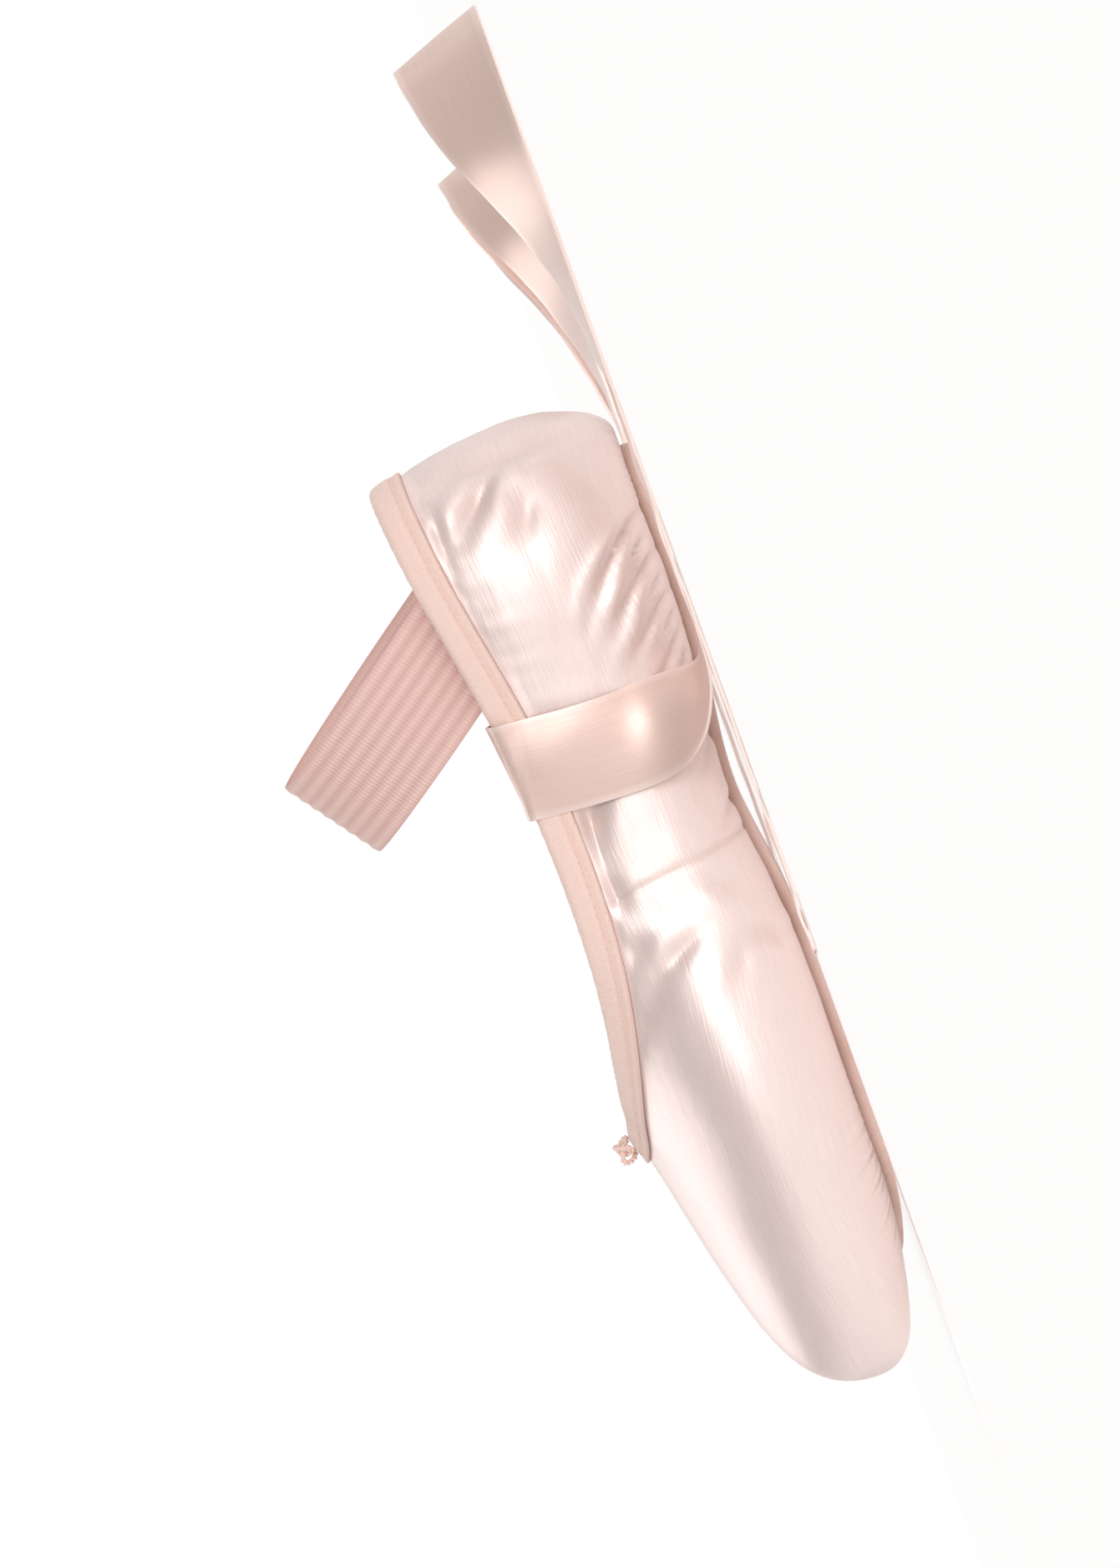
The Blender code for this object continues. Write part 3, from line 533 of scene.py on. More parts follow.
def weave_material(name, light, dark, pitch, values, depth, shade_and_soil_colour=None):
    """A plain weave of that thread spacing, on the cloth's own coordinates."""
    made, tree, shader = new_material(name, values)
    cloth = cloth_place(tree)
    warp, weft = (
        add_node(
            tree,
            "ShaderNodeTexWave",
            {"Vector": cloth, "Scale": math.pi / 10 / pitch, "Distortion": 0.6},
            bands_direction=way,
        )
        for way in ("X", "Y")
    )
    both = add_node(
        tree, "ShaderNodeMath", {0: warp.outputs["Fac"], 1: weft.outputs["Fac"]}, operation="MULTIPLY"
    )
    place = add_node(tree, "ShaderNodeTexCoord")
    blotch = add_noise(tree, place.outputs["Object"], 70.0, 4.0)
    mixed = add_node(
        tree,
        "ShaderNodeMath",
        {0: both.outputs["Value"], 1: blotch, 2: 0.15},
        operation="MULTIPLY_ADD",
    )
    colour = mixed_colour(tree, mixed.outputs["Value"], dark, light)
    # Where given, the darker colour is painted shade, blended in by the shade attribute.
    if shade_and_soil_colour is not None:
        colour = mixed_colour(tree, shade_of(tree), colour, shade_and_soil_colour)
    finish_with(tree, shader, colour, both.outputs["Value"], depth, 0.7)
    return made


CLOTH_VALUES = {"Roughness": 0.85, "Sheen Weight": 0.25, "Sheen Roughness": 0.5, "Specular IOR Level": 0.25}
satin = satin_material("duchess_satin", SATIN_LIGHT, SATIN_SHADE_AND_SOIL, 0.39)
lining = weave_material(
    "cotton_drill_lining", from_hex("#F8EFE8"), from_hex("#EADCD1"), 0.7 * MM, CLOTH_VALUES, 0.10 * MM
)

# %% [markdown]
# ## The upper's folds
#
# A worn shoe keeps a fold wherever it has been bent. The folds in the photo are placed here one by one:
# gathers that fan up from the sole beside the heel, a diagonal fold on the heel, a slack fold at the waist
# and a sharp one where the stiff box begins. The drawstring draws small tucks in under the binding. Each fold
# is a soft trough with a ridge on one side, drawn along a short curve. Its ends are shares of the shoe's
# length and of the heel's height, seen from the side. The pleats round the sole's front are a wave that fades
# up the rib.

# %% The folds, seams and pleats
# "side" is 1 on the left and -1 on the right. "bend" lifts the curve's middle, as a share of its length.
# Width and depth are in millimetres; a negative depth is a ridge. "fade" softens the second end.
Fold = namedtuple("Fold", "place side along_1 up_1 along_2 up_2 bend width depth ridge fade")
FOLDS = (
    Fold("gather by the heel, long", 1, 0.118, 0.08, 0.206, 0.40, 0.06, 1.30, 1.26, 0.44, 0.80),
    Fold("gather by the heel, short", 1, 0.138, 0.08, 0.192, 0.24, 0.05, 0.90, 0.84, 0.44, 0.80),
    Fold("gather by the heel, second", 1, 0.158, 0.07, 0.228, 0.34, 0.05, 1.20, 1.16, 0.44, 0.80),
    Fold("gather, between", 1, 0.178, 0.07, 0.222, 0.21, 0.02, 0.80, 0.68, 0.44, 0.90),
    Fold("gather, third", 1, 0.198, 0.07, 0.258, 0.32, 0.02, 1.10, 1.00, 0.41, 0.90),
    Fold("gather, thin", 1, 0.216, 0.07, 0.254, 0.19, 0.00, 0.70, 0.63, 0.44, 0.90),
    Fold("gather, fourth", 1, 0.236, 0.07, 0.306, 0.31, 0.00, 1.10, 0.89, 0.39, 0.90),
    Fold("gather, fifth", 1, 0.256, 0.07, 0.300, 0.18, 0.00, 0.75, 0.63, 0.44, 0.90),
    Fold("gather, long and thin", 1, 0.276, 0.07, 0.372, 0.34, -0.04, 1.00, 0.84, 0.39, 0.90),
    Fold("gather, short", 1, 0.304, 0.07, 0.352, 0.17, 0.00, 0.90, 0.68, 0.39, 0.80),
    Fold("gather by the waist", 1, 0.334, 0.07, 0.392, 0.22, 0.00, 1.00, 0.63, 0.33, 0.90),
    Fold("gather by the ball", 1, 0.398, 0.08, 0.446, 0.20, 0.00, 1.10, 0.53, 0.28, 0.90),
    Fold("heel diagonal", 1, 0.034, 0.52, 0.092, 0.78, 0.06, 2.4, 1.20, 0.30, 0.8),
    Fold("heel diagonal, faint", 1, 0.060, 0.40, 0.120, 0.58, 0.04, 3.2, 0.80, 0.40, 1.0),
    Fold("heel, under the binding", 1, 0.050, 0.80, 0.115, 0.84, 0.04, 2.2, 0.70, 0.40, 1.0),
    Fold("heel, band at the back", 1, 0.026, 0.16, 0.030, 0.88, 0.02, 1.8, 0.60, 0.60, 0.5),
    Fold("heel, standing ridge", 1, 0.044, 0.22, 0.048, 0.80, 0.03, 2.6, -0.60, 0.00, 0.8),
    Fold("waist, slack fold", 1, 0.350, 0.53, 0.430, 0.75, 0.12, 4.0, 1.50, 0.45, 0.6),
    Fold("waist, its return", 1, 0.425, 0.74, 0.475, 0.62, 0.00, 3.4, 1.00, 0.40, 0.9),
    Fold("waist, low", 1, 0.462, 0.30, 0.498, 0.14, 0.00, 2.0, 0.60, 0.40, 0.9),
    Fold("box, sharp fold", 1, 0.508, 0.36, 0.560, 0.70, 0.06, 2.6, 0.85, 0.15, 0.9),
    Fold("box, beside the sharp fold", 1, 0.500, 0.56, 0.528, 0.76, 0.04, 2.7, 0.50, 0.30, 0.9),
    Fold("box, wing's edge", 1, 0.540, 0.58, 0.622, 0.78, 0.02, 3.4, 0.70, 0.60, 0.9),
    Fold("box, low fold", 1, 0.546, 0.09, 0.526, 0.26, 0.10, 1.9, 0.90, 0.40, 0.8),
    Fold("box, low fold's turn", 1, 0.528, 0.25, 0.578, 0.35, -0.06, 2.2, 0.65, 0.35, 1.0),
    Fold("gather by the heel, right", -1, 0.130, 0.08, 0.210, 0.36, 0.05, 1.25, 1.16, 0.44, 0.80),
    Fold("gather, right, short", -1, 0.152, 0.07, 0.200, 0.22, 0.03, 0.85, 0.73, 0.44, 0.90),
    Fold("gather, right, second", -1, 0.178, 0.07, 0.242, 0.31, 0.04, 1.10, 1.00, 0.41, 0.90),
    Fold("gather, right, thin", -1, 0.202, 0.07, 0.240, 0.18, 0.00, 0.75, 0.63, 0.44, 0.90),
    Fold("gather, right, third", -1, 0.226, 0.07, 0.302, 0.33, 0.00, 1.05, 0.89, 0.39, 0.90),
    Fold("gather, right, fourth", -1, 0.256, 0.07, 0.304, 0.19, 0.00, 0.80, 0.63, 0.41, 0.90),
    Fold("gather, right, fifth", -1, 0.286, 0.07, 0.352, 0.28, 0.00, 1.00, 0.73, 0.33, 0.90),
    Fold("gather, right, waist", -1, 0.330, 0.07, 0.388, 0.20, 0.00, 1.00, 0.58, 0.33, 0.90),
    Fold("heel diagonal, right", -1, 0.040, 0.50, 0.098, 0.72, 0.05, 2.6, 1.10, 0.50, 0.8),
    Fold("waist, slack fold, right", -1, 0.372, 0.50, 0.452, 0.70, 0.10, 4.2, 1.30, 0.45, 0.7),
    Fold("waist, low, right", -1, 0.420, 0.32, 0.470, 0.16, 0.00, 2.2, 0.70, 0.40, 0.9),
    Fold("box, sharp fold, right", -1, 0.520, 0.36, 0.562, 0.66, 0.06, 2.2, 0.80, 0.30, 0.9),
    Fold("box, low fold, right", -1, 0.560, 0.10, 0.540, 0.26, 0.08, 1.9, 0.80, 0.40, 0.9),
)
FOLD_GAIN, FOLD_POINTS = 1.5, 17
SEAM_AT_COLLAR, SEAM_AT_SOLE = 0.462, 0.436
SEAM_WIDTH, SEAM_DEPTH, SEAM_PUCKER_PITCH, SEAM_PUCKER = 0.8 * MM, 0.45 * MM, 5 * MM, 0.08 * MM
PLEAT_PITCH, PLEAT_DEPTH, PLEAT_REACH = 4.4 * MM, 0.75 * MM, 8 * MM
HEM_PITCH, HEM_DEPTH, HEM_REACH = 5.2 * MM, 0.17 * MM, 8 * MM

# The satin's unevenness: its pitch, its height in the stiff box, what it gains where slack, and its seed.
UNEVENNESS = ((26 * MM, 0.10 * MM, 0.28 * MM, 3), (9 * MM, 0.02 * MM, 0.07 * MM, 5))

# Where the satin changes, each as two shares of the shoe's length from the heel.
SLACK_ENDS, PLEATS_START, HEEL_PLEATS_END = (0.50, 0.66), (0.66, 0.82), (0.03, 0.16)
PLATFORM_STARTS, TUCKS_FADE = (0.975, 1.0), (0.08, 0.30)

# How dark the satin's colour is painted in each place, where 1 is the most: painted shade in folds, seams,
# pleats and the groove by the sole, and real wear at the platform.
FOLD_PAINTED_SHADE, SEAM_PAINTED_SHADE, PLEAT_PAINTED_SHADE, PLATFORM_SOIL = 0.22, 0.30, 0.7, 0.30
GROOVE_PAINTED_SHADE, GROOVE_SHADE_REACH = 0.85, 3.0 * MM


def fold_field(points, fold):
    """How far one fold moves each point along the surface's normal, and how deep in it the point lies."""
    start = np.array([fold.along_1 * SHOE_LENGTH, fold.up_1 * HEEL_HEIGHT])
    end = np.array([fold.along_2 * SHOE_LENGTH, fold.up_2 * HEEL_HEIGHT])
    reach = end - start
    normal = np.array([-reach[1], reach[0]])
    shares = np.linspace(0, 1, FOLD_POINTS)
    line = start + np.outer(shares, reach) + np.outer(4 * shares * (1 - shares) * fold.bend, normal)
    flat = points[:, [0, 2]]
    gap = flat[:, None, :] - line[None, :, :]
    nearest = np.argmin((gap**2).sum(axis=2), axis=1)
    tangent = unit(np.gradient(line, axis=0))[nearest]
    away = gap[np.arange(len(flat)), nearest]
    signed = tangent[:, 0] * away[:, 1] - tangent[:, 1] * away[:, 0]
    past = (tangent * away).sum(axis=1)
    share = np.clip(shares[nearest] + past / np.linalg.norm(reach), -1, 2)
    width = fold.width * MM * (0.75 + 0.5 * np.clip(share, 0, 1))
    start = 0.12 if fold.up_1 < 0.12 else 0.45
    strength = smooth_step(share, -0.14, start) * (1 - smooth_step(share, 1 - fold.fade * 0.85, 1.14))
    strength *= smooth_step(points[:, 1] * fold.side, 1 * MM, 5 * MM)
    trough = np.exp(-((signed / width) ** 2))
    ridge = np.exp(-(((signed - 1.9 * width) / (1.2 * width)) ** 2))
    move = fold.depth * FOLD_GAIN * MM * strength * (fold.ridge * ridge - trough)
    return move, strength * trough * min(abs(fold.depth), 1.2) * (1 if fold.depth > 0 else 0)


def soft_noise(points, pitch, seed):
    """A smooth random field from -1 to 1, about that far from crest to crest."""
    source = np.random.default_rng(seed)
    total = np.zeros(len(points))
    for _ in range(14):
        way = unit(source.normal(size=3)) * 2 * math.pi / (pitch * source.uniform(0.7, 1.6))
        total += np.sin(points @ way + source.uniform(0, 2 * math.pi))
    return total / 5.5


def seam_field(points):
    """How deep each point lies, from 0 to 1, in a quarter's side seam or in the seam down the heel."""
    climb = np.clip((points[:, 2] - 4 * MM) / (QUARTER_HEIGHT - 4 * MM), 0, 1)
    along = (SEAM_AT_SOLE + (SEAM_AT_COLLAR - SEAM_AT_SOLE) * climb) * SHOE_LENGTH
    side = np.exp(-(((points[:, 0] - along) / SEAM_WIDTH) ** 2))
    heel = np.exp(-((points[:, 1] / SEAM_WIDTH) ** 2)) * (points[:, 0] < 0.15 * SHOE_LENGTH)
    return np.maximum(side, heel * 0.8)


def dressed(points, run_up, run_round, to_hem):
    """The upper's face with its folds, as how far each point moves and how dark its colour is painted: shade
    in folds, seams, pleats and the sole's groove, wear at the platform.
    """
    move = np.zeros(len(points))
    painted_shade_and_soil = np.zeros(len(points))
    # Each fold's trough is painted darker, as painted shade in the crease.
    for fold in FOLDS:
        step, deep = fold_field(points, fold)
        move += step
        painted_shade_and_soil = np.maximum(painted_shade_and_soil, deep * FOLD_PAINTED_SHADE)
    along = points[:, 0] / SHOE_LENGTH
    soft = 1 - smooth_step(along, *SLACK_ENDS)
    for pitch, height, gained, seed in UNEVENNESS:
        move += soft_noise(points, pitch, seed) * (height + gained * soft)
    seams = seam_field(points)
    pucker = np.cos(2 * math.pi * run_up / SEAM_PUCKER_PITCH) * np.exp(-((seams - 0.35) ** 2) / 0.05)
    move += seams * -SEAM_DEPTH + pucker * SEAM_PUCKER
    # The seams' grooves are painted darker, as painted shade.
    painted_shade_and_soil = np.maximum(painted_shade_and_soil, seams * SEAM_PAINTED_SHADE)
    front = smooth_step(along, *PLEATS_START)
    heel_end = 1 - smooth_step(along, *HEEL_PLEATS_END)
    wave = np.sin(2 * math.pi * run_round / PLEAT_PITCH + 1.3 * np.sin(run_round / (13 * MM)))
    crest = np.abs(wave) ** 0.6 * 2 - 1
    pleats = (front + 0.5 * heel_end) * np.exp(-((run_up / PLEAT_REACH) ** 2))
    pleats = pleats * smooth_step(run_up, 0, 1.5 * MM)
    move += crest * pleats * PLEAT_DEPTH
    # The pleats' troughs are painted darker, as painted shade.
    painted_shade_and_soil = np.maximum(painted_shade_and_soil, (1 - np.clip(crest + 1, 0, 1)) * pleats * PLEAT_PAINTED_SHADE)
    # A band beside the sole is painted darker, as the groove's painted shade.
    painted_shade_and_soil = np.maximum(painted_shade_and_soil, np.exp(-((run_up / GROOVE_SHADE_REACH) ** 2)) * GROOVE_PAINTED_SHADE)
    painted_shade_and_soil = np.maximum(painted_shade_and_soil, smooth_step(along, *PLATFORM_STARTS) * PLATFORM_SOIL)
    tuck = np.sin(2 * math.pi * run_round / HEM_PITCH + 1.7 * np.sin(run_round / (11 * MM)))
    drawn = 0.12 + 0.88 * (1 - smooth_step(along, *TUCKS_FADE))
    drawn *= 0.7 + 0.5 * soft_noise(points, 18 * MM, 11)
    move += tuck * drawn * np.exp(-((to_hem / HEM_REACH) ** 2)) * HEM_DEPTH
    keep = smooth_step(to_hem, 0.0, 2.5 * MM) * smooth_step(run_up, 0, 1.2 * MM)
    return move * keep, np.clip(painted_shade_and_soil, 0, 1)


print(len(FOLDS), "folds placed by hand")

# %% [markdown]
# ## The upper
#
# The upper is one hollow wall, thin at the quarters and thick at the box. Its face follows the last's
# ribs, moved by the folds, and its inner face is set back by the wall, so the folds show inside too. The
# satin is on the face, and the canvas lining on the rest.

# %% The upper
FACE_STATIONS, FACE_TURN, FACE_SIDE, FACE_TAPE = 600, 18, 50, 5
LINING_STRIDE = 3


def box_wall(stations, outer, tape_steps):
    """The wall's thickness at each point of the face: thick in the box, thin at the seams and the collar."""
    box = closed_spline(LAST_KNOTS, LAST, stations)[:, 14:15]
    body = np.ones(outer.shape[1])
    body[-(tape_steps + 1) :] = 0
    fade = max(3, outer.shape[1] // 8)
    body[-(tape_steps + 1) - fade : -(tape_steps + 1)] = np.linspace(1, 0, fade + 1)[1:]
    body[:2] = 0
    body[2 : 2 + fade] = np.linspace(0, 1, fade + 1)[1:]
    return QUARTER_WALL + (BOX_WALL - QUARTER_WALL) * box * body[None, :]


def cloth_runs(grid):
    """How far each point lies up its rib, and round the band from the heel's middle, in metres of surface."""
    up = np.linalg.norm(np.diff(grid, axis=1), axis=2)
    up = np.concatenate([np.zeros((len(grid), 1)), np.cumsum(up, axis=1)], axis=1)
    middle = grid[:, grid.shape[1] // 3]
    steps = np.linalg.norm(np.roll(middle, -1, axis=0) - middle, axis=1)
    around = np.concatenate([[0], np.cumsum(steps[:-1])])
    return up, np.minimum(around, steps.sum() - around)


def make_upper():
    """The satin upper with its folds, hollow and open at the collar and the sole."""
    stations = even_stations(FACE_STATIONS)
    outer = last_ribs(stations, FACE_TURN, FACE_SIDE, FACE_TAPE)
    normals = outward_normals(outer)
    up, around = cloth_runs(outer)
    hem = up[:, -(FACE_TAPE + 1)][:, None]
    from_edge = np.maximum(up - up[:, 1:2], 0)
    around_grid = np.repeat(around[:, None], outer.shape[1], axis=1)
    move, painted_shade_and_soil = dressed(outer.reshape(-1, 3), from_edge.ravel(), around_grid.ravel(), (hem - up).ravel())
    move, painted_shade_and_soil = move.reshape(up.shape), painted_shade_and_soil.reshape(up.shape)
    face = outer + normals * move[:, :, None]
    inside = face - normals * box_wall(stations, outer, FACE_TAPE)[:, :, None]
    keep = np.unique(np.r_[0, 1, np.arange(2, outer.shape[1] - 1, LINING_STRIDE), outer.shape[1] - 1])
    section = np.concatenate([face, inside[:, keep][:, ::-1]], axis=1)
    rings, ring = section.shape[:2]
    uv = np.stack([around_grid, up], axis=2)
    uv = np.concatenate([uv, uv[:, keep][:, ::-1]], axis=1).reshape(-1, 2)
    shade = np.concatenate([painted_shade_and_soil, painted_shade_and_soil[:, keep][:, ::-1] * 0], axis=1).ravel()
    faces = band_faces(rings, ring)
    on_face = (faces % ring < outer.shape[1]).all(axis=1)
    return add_piece(
        "satin_upper",
        in_frame(section).reshape(-1, 3),
        faces,
        [satin, lining],
        uv=uv,
        shade=shade,
        finish_of_face=np.where(on_face, 0, 1),
    )


upper = make_upper()
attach(upper, "root")
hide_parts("upper")
print("upper:", len(upper.data.polygons), "faces")

# %% [markdown]
# ## Rows of stitches
#
# A stitch repeats, so Geometry Nodes sets it along a line: the line is cut into even lengths, a short fat
# thread is put at each cut, turned along the line, and the copies are made real. The same tree sews the
# binding, the elastic and the ribbons, with its own spacing and thickness each time.

# %% The stitch tree
def stitch_tree():
    """A Geometry Nodes tree that turns the edges of a mesh into a row of stitches."""
    tree = bpy.data.node_groups.new("stitches", "GeometryNodeTree")
    tree.interface.new_socket("Geometry", in_out="INPUT", socket_type="NodeSocketGeometry")
    for name in ("Pitch", "Length", "Thread radius"):
        tree.interface.new_socket(name, in_out="INPUT", socket_type="NodeSocketFloat")
    tree.interface.new_socket("Thread", in_out="INPUT", socket_type="NodeSocketMaterial")
    tree.interface.new_socket("Geometry", in_out="OUTPUT", socket_type="NodeSocketGeometry")
    given = add_node(tree, "NodeGroupInput")
    line = add_node(tree, "GeometryNodeMeshToCurve", {"Mesh": given.outputs["Geometry"]})
    cuts = add_node(
        tree,
        "GeometryNodeResampleCurve",
        {"Curve": line.outputs["Curve"], "Length": given.outputs["Pitch"]},
        mode="LENGTH",
    )
    stitch = add_node(tree, "GeometryNodeMeshUVSphere", {"Segments": 6, "Rings": 5, "Radius": 1.0})
    radius = given.outputs["Thread radius"]
    size = add_node(tree, "ShaderNodeCombineXYZ", {"X": radius, "Y": radius, "Z": given.outputs["Length"]})
    along = add_node(tree, "GeometryNodeInputTangent")
    turn = add_node(tree, "FunctionNodeAlignRotationToVector", {"Vector": along.outputs["Tangent"]}, axis="Z")
    copies = add_node(
        tree,
        "GeometryNodeInstanceOnPoints",
        {
            "Points": cuts.outputs["Curve"],
            "Instance": stitch.outputs["Mesh"],
            "Rotation": turn.outputs["Rotation"],
            "Scale": size.outputs["Vector"],
        },
    )
    real = add_node(tree, "GeometryNodeRealizeInstances", {"Geometry": copies.outputs["Instances"]})
    smooth = add_node(tree, "GeometryNodeSetShadeSmooth", {"Geometry": real.outputs["Geometry"]})
    finish = add_node(
        tree,
        "GeometryNodeSetMaterial",
        {"Geometry": smooth.outputs["Geometry"], "Material": given.outputs["Thread"]},
    )
    add_node(tree, "NodeGroupOutput", {"Geometry": finish.outputs["Geometry"]})
    return tree


STITCHES = stitch_tree()

# The pitch, the length and the thread's radius of each kind of stitch.
BINDING_STITCH = (2.4 * MM, 1.7 * MM, 0.17 * MM)
RIBBON_STITCH = (2.6 * MM, 2.0 * MM, 0.20 * MM)
ELASTIC_STITCH = (2.8 * MM, 2.1 * MM, 0.20 * MM)


def sew(name, lines, pitch, length, radius, thread):
    """One piece with a stitch every pitch along each of those lines of points."""
    points, edges = [], []
    for line in lines:
        first = len(points)
        points += [tuple(p) for p in line]
        edges += [(k, k + 1) for k in range(first, len(points) - 1)]
    guide = bpy.data.meshes.new(name + "_guide")
    guide.from_pydata(points, edges, [])
    holder = bpy.data.objects.new(name + "_guide", guide)
    bpy.context.scene.collection.objects.link(holder)
    sewn = holder.modifiers.new("sewn", "NODES")
    sewn.node_group = STITCHES
    values = {"Pitch": pitch, "Length": length / 2, "Thread radius": radius, "Thread": thread}
    for item in STITCHES.interface.items_tree:
        if item.in_out == "INPUT" and item.name in values:
            sewn[item.identifier] = values[item.name]
    bpy.context.view_layer.update()
    seen = holder.evaluated_get(bpy.context.evaluated_depsgraph_get())
    mesh = bpy.data.meshes.new_from_object(seen)
    mesh.name = name
    bpy.data.objects.remove(holder, do_unlink=True)
    piece = bpy.data.objects.new(name, mesh)
    bpy.context.scene.collection.objects.link(piece)
    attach(piece, "root")
    return piece


thread, _, _ = new_material(
    "cotton_sewing_thread", {"Base Color": from_hex("#EBC9BC"), "Roughness": 0.7, "Sheen Weight": 0.2}
)

# %% [markdown]
# ## The binding
#
# A bias tape of matt cotton is folded over the collar's edge and holds the drawstring, which puffs it out.
# It is sewn down near its hem, and that row pulls in a crease which the photo shows as a line along the
# tape. The tape follows the upper's ribs, so its section is drawn once and carried round.

# %% The binding
TAPE_CREASE, TAPE_CREASE_WIDTH, TAPE_CREASE_DEPTH = 0.68, 0.07, 0.45 * MM
TAPE_TUCK_PITCH, TAPE_TUCKS_START = 4.6 * MM, (0.56 * SHOE_LENGTH, 0.70 * SHOE_LENGTH)
TAPE_STATIONS, TAPE_STEPS = 480, 8
tape_cotton = weave_material(
    "bias_cut_cotton_tape",
    from_hex("#FCE4DB"),
    from_hex("#F0CFC3"),
    0.55 * MM,
    CLOTH_VALUES,
    0.10 * MM,
    # The darker colour here is painted shade, in the tape's crease and at its hem.
    shade_and_soil_colour=from_hex("#C99C8C"),
)


def make_binding():
    """The tape, as a folded channel over the collar's edge, and the place of its row of stitches."""
    stations = even_stations(TAPE_STATIONS)
    outer = last_ribs(stations, 4, 8, TAPE_STEPS)
    normals = outward_normals(outer)[:, -(TAPE_STEPS + 1) :]
    outer = outer[:, -(TAPE_STEPS + 1) :]
    inner = outer - normals * QUARTER_WALL
    up = unit(outer[:, -1] - outer[:, -2])
    down = np.linspace(1, 0, TAPE_STEPS + 1)
    crease = np.exp(-(((down - TAPE_CREASE) / TAPE_CREASE_WIDTH) ** 2)) * TAPE_CREASE_DEPTH
    swell = BINDING_HEM + (BINDING_PUFF - BINDING_HEM) * np.sin(math.pi * np.clip((1 - down) * 1.4, 0, 1) / 2)
    front = smooth_step(outer[:, :, 0].mean(axis=1), *TAPE_TUCKS_START)
    pucker = np.sin(2 * math.pi * stations / TAPE_TUCK_PITCH + 1.5 * np.sin(stations / (17 * MM)))
    pucker = pucker * (0.05 + 0.10 * front) * MM
    puff = swell[None, :] - crease[None, :] + pucker[:, None] * (1 - down[None, :]) ** 0.5
    outer_face = outer + normals * (GAP + puff)[:, :, None]
    inner_face = inner - normals * (GAP + puff * 0.9)[:, :, None]
    middle = (outer[:, -1] + inner[:, -1]) / 2
    half = QUARTER_WALL / 2 + GAP + BINDING_PUFF
    turns = np.linspace(0, math.pi, 9)[1:-1]
    crown = (
        middle[:, None]
        + normals[:, -1][:, None] * (np.cos(turns) * half)[None, :, None]
        + up[:, None] * (np.sin(turns) * (GAP + BINDING_PUFF * 1.5) + pucker[:, None])[:, :, None]
    )
    channel_outer = outer[:, ::2] + normals[:, ::2] * GAP
    channel_inner = inner[:, ::2] - normals[:, ::2] * GAP
    channel_outer[:, -1] += up * GAP
    channel_inner[:, -1] += up * GAP
    tape = [channel_outer[:, :1], outer_face, crown, inner_face[:, ::-1]]
    section = np.concatenate([*tape, channel_inner, channel_outer[:, :0:-1]], axis=1)
    rings, ring = section.shape[:2]
    steps = np.linalg.norm(np.diff(section, axis=1), axis=2)
    across = np.concatenate([np.zeros((rings, 1)), np.cumsum(steps, axis=1)], axis=1)
    from_heel = np.minimum(stations, ROUND - stations)
    uv = np.stack([np.repeat(from_heel[:, None], ring, axis=1), across], axis=2)
    shade = np.zeros((rings, ring))
    # The crease and the hem's edge are painted darker, as painted shade in the crease and in the groove
    # against the upper.
    shade[:, 1 : TAPE_STEPS + 2] = crease[None, :] / TAPE_CREASE_DEPTH * 0.35 + (down[None, :] > 0.95) * 0.3
    piece = add_piece(
        "cotton_binding",
        in_frame(section).reshape(-1, 3),
        band_faces(rings, ring),
        tape_cotton,
        uv=uv.reshape(-1, 2),
        shade=shade.ravel(),
    )
    row = np.argmin(np.abs(down - TAPE_CREASE))
    seam = in_frame(outer_face[:, row] + normals[:, row] * 0.05 * MM)
    return piece, np.vstack([seam, seam[:1]])


binding, binding_seam = make_binding()
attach(binding, "root")
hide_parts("binding")
binding_stitches = sew("binding_stitches", [binding_seam], *BINDING_STITCH, thread)
print("binding stitches:", len(binding_stitches.data.polygons) // 30)

# %% [markdown]
# ## The sole and the insole
#
# The outsole is one narrow piece of split leather with its suede side out. Its edge is cut square and a
# little rounded by wear. The insole fills the floor inside, and is covered in canvas. Both are plates, so
# both are rings that follow the last's stations and are drawn together onto the middle line.

# %% The sole and the insole
PLATE_STATIONS = 320


def on_middle(ring):
    """The ring drawn in onto the middle line, where its left and right halves meet."""
    middle = (ring + ring[(-np.arange(len(ring))) % len(ring)]) / 2
    middle[:, 1] = 0
    return middle


def half_way(ring):
    """A ring half way from that one to the middle line."""
    return (ring[:, :2] + on_middle(ring[:, :2])) / 2


def level(plan, lift):
    """A ring in plan, laid at a height above the sole's underside."""
    plan = np.asarray(plan, float)[:, :2]
    return np.column_stack([plan, sole_height(plan[:, 0] / SHOE_LENGTH) + lift])


def drawn_in(ring, by):
    """A ring in plan, moved in square to its own line."""
    along = unit(np.roll(ring, -1, axis=0)[:, :2] - np.roll(ring, 1, axis=0)[:, :2])
    inward = np.column_stack([-along[:, 1], along[:, 0]])
    centre = ring[:, :2].mean(axis=0)
    inward *= np.sign(((centre - ring[:, :2]) * inward).sum(axis=1).mean())
    return ring[:, :2] + inward * by


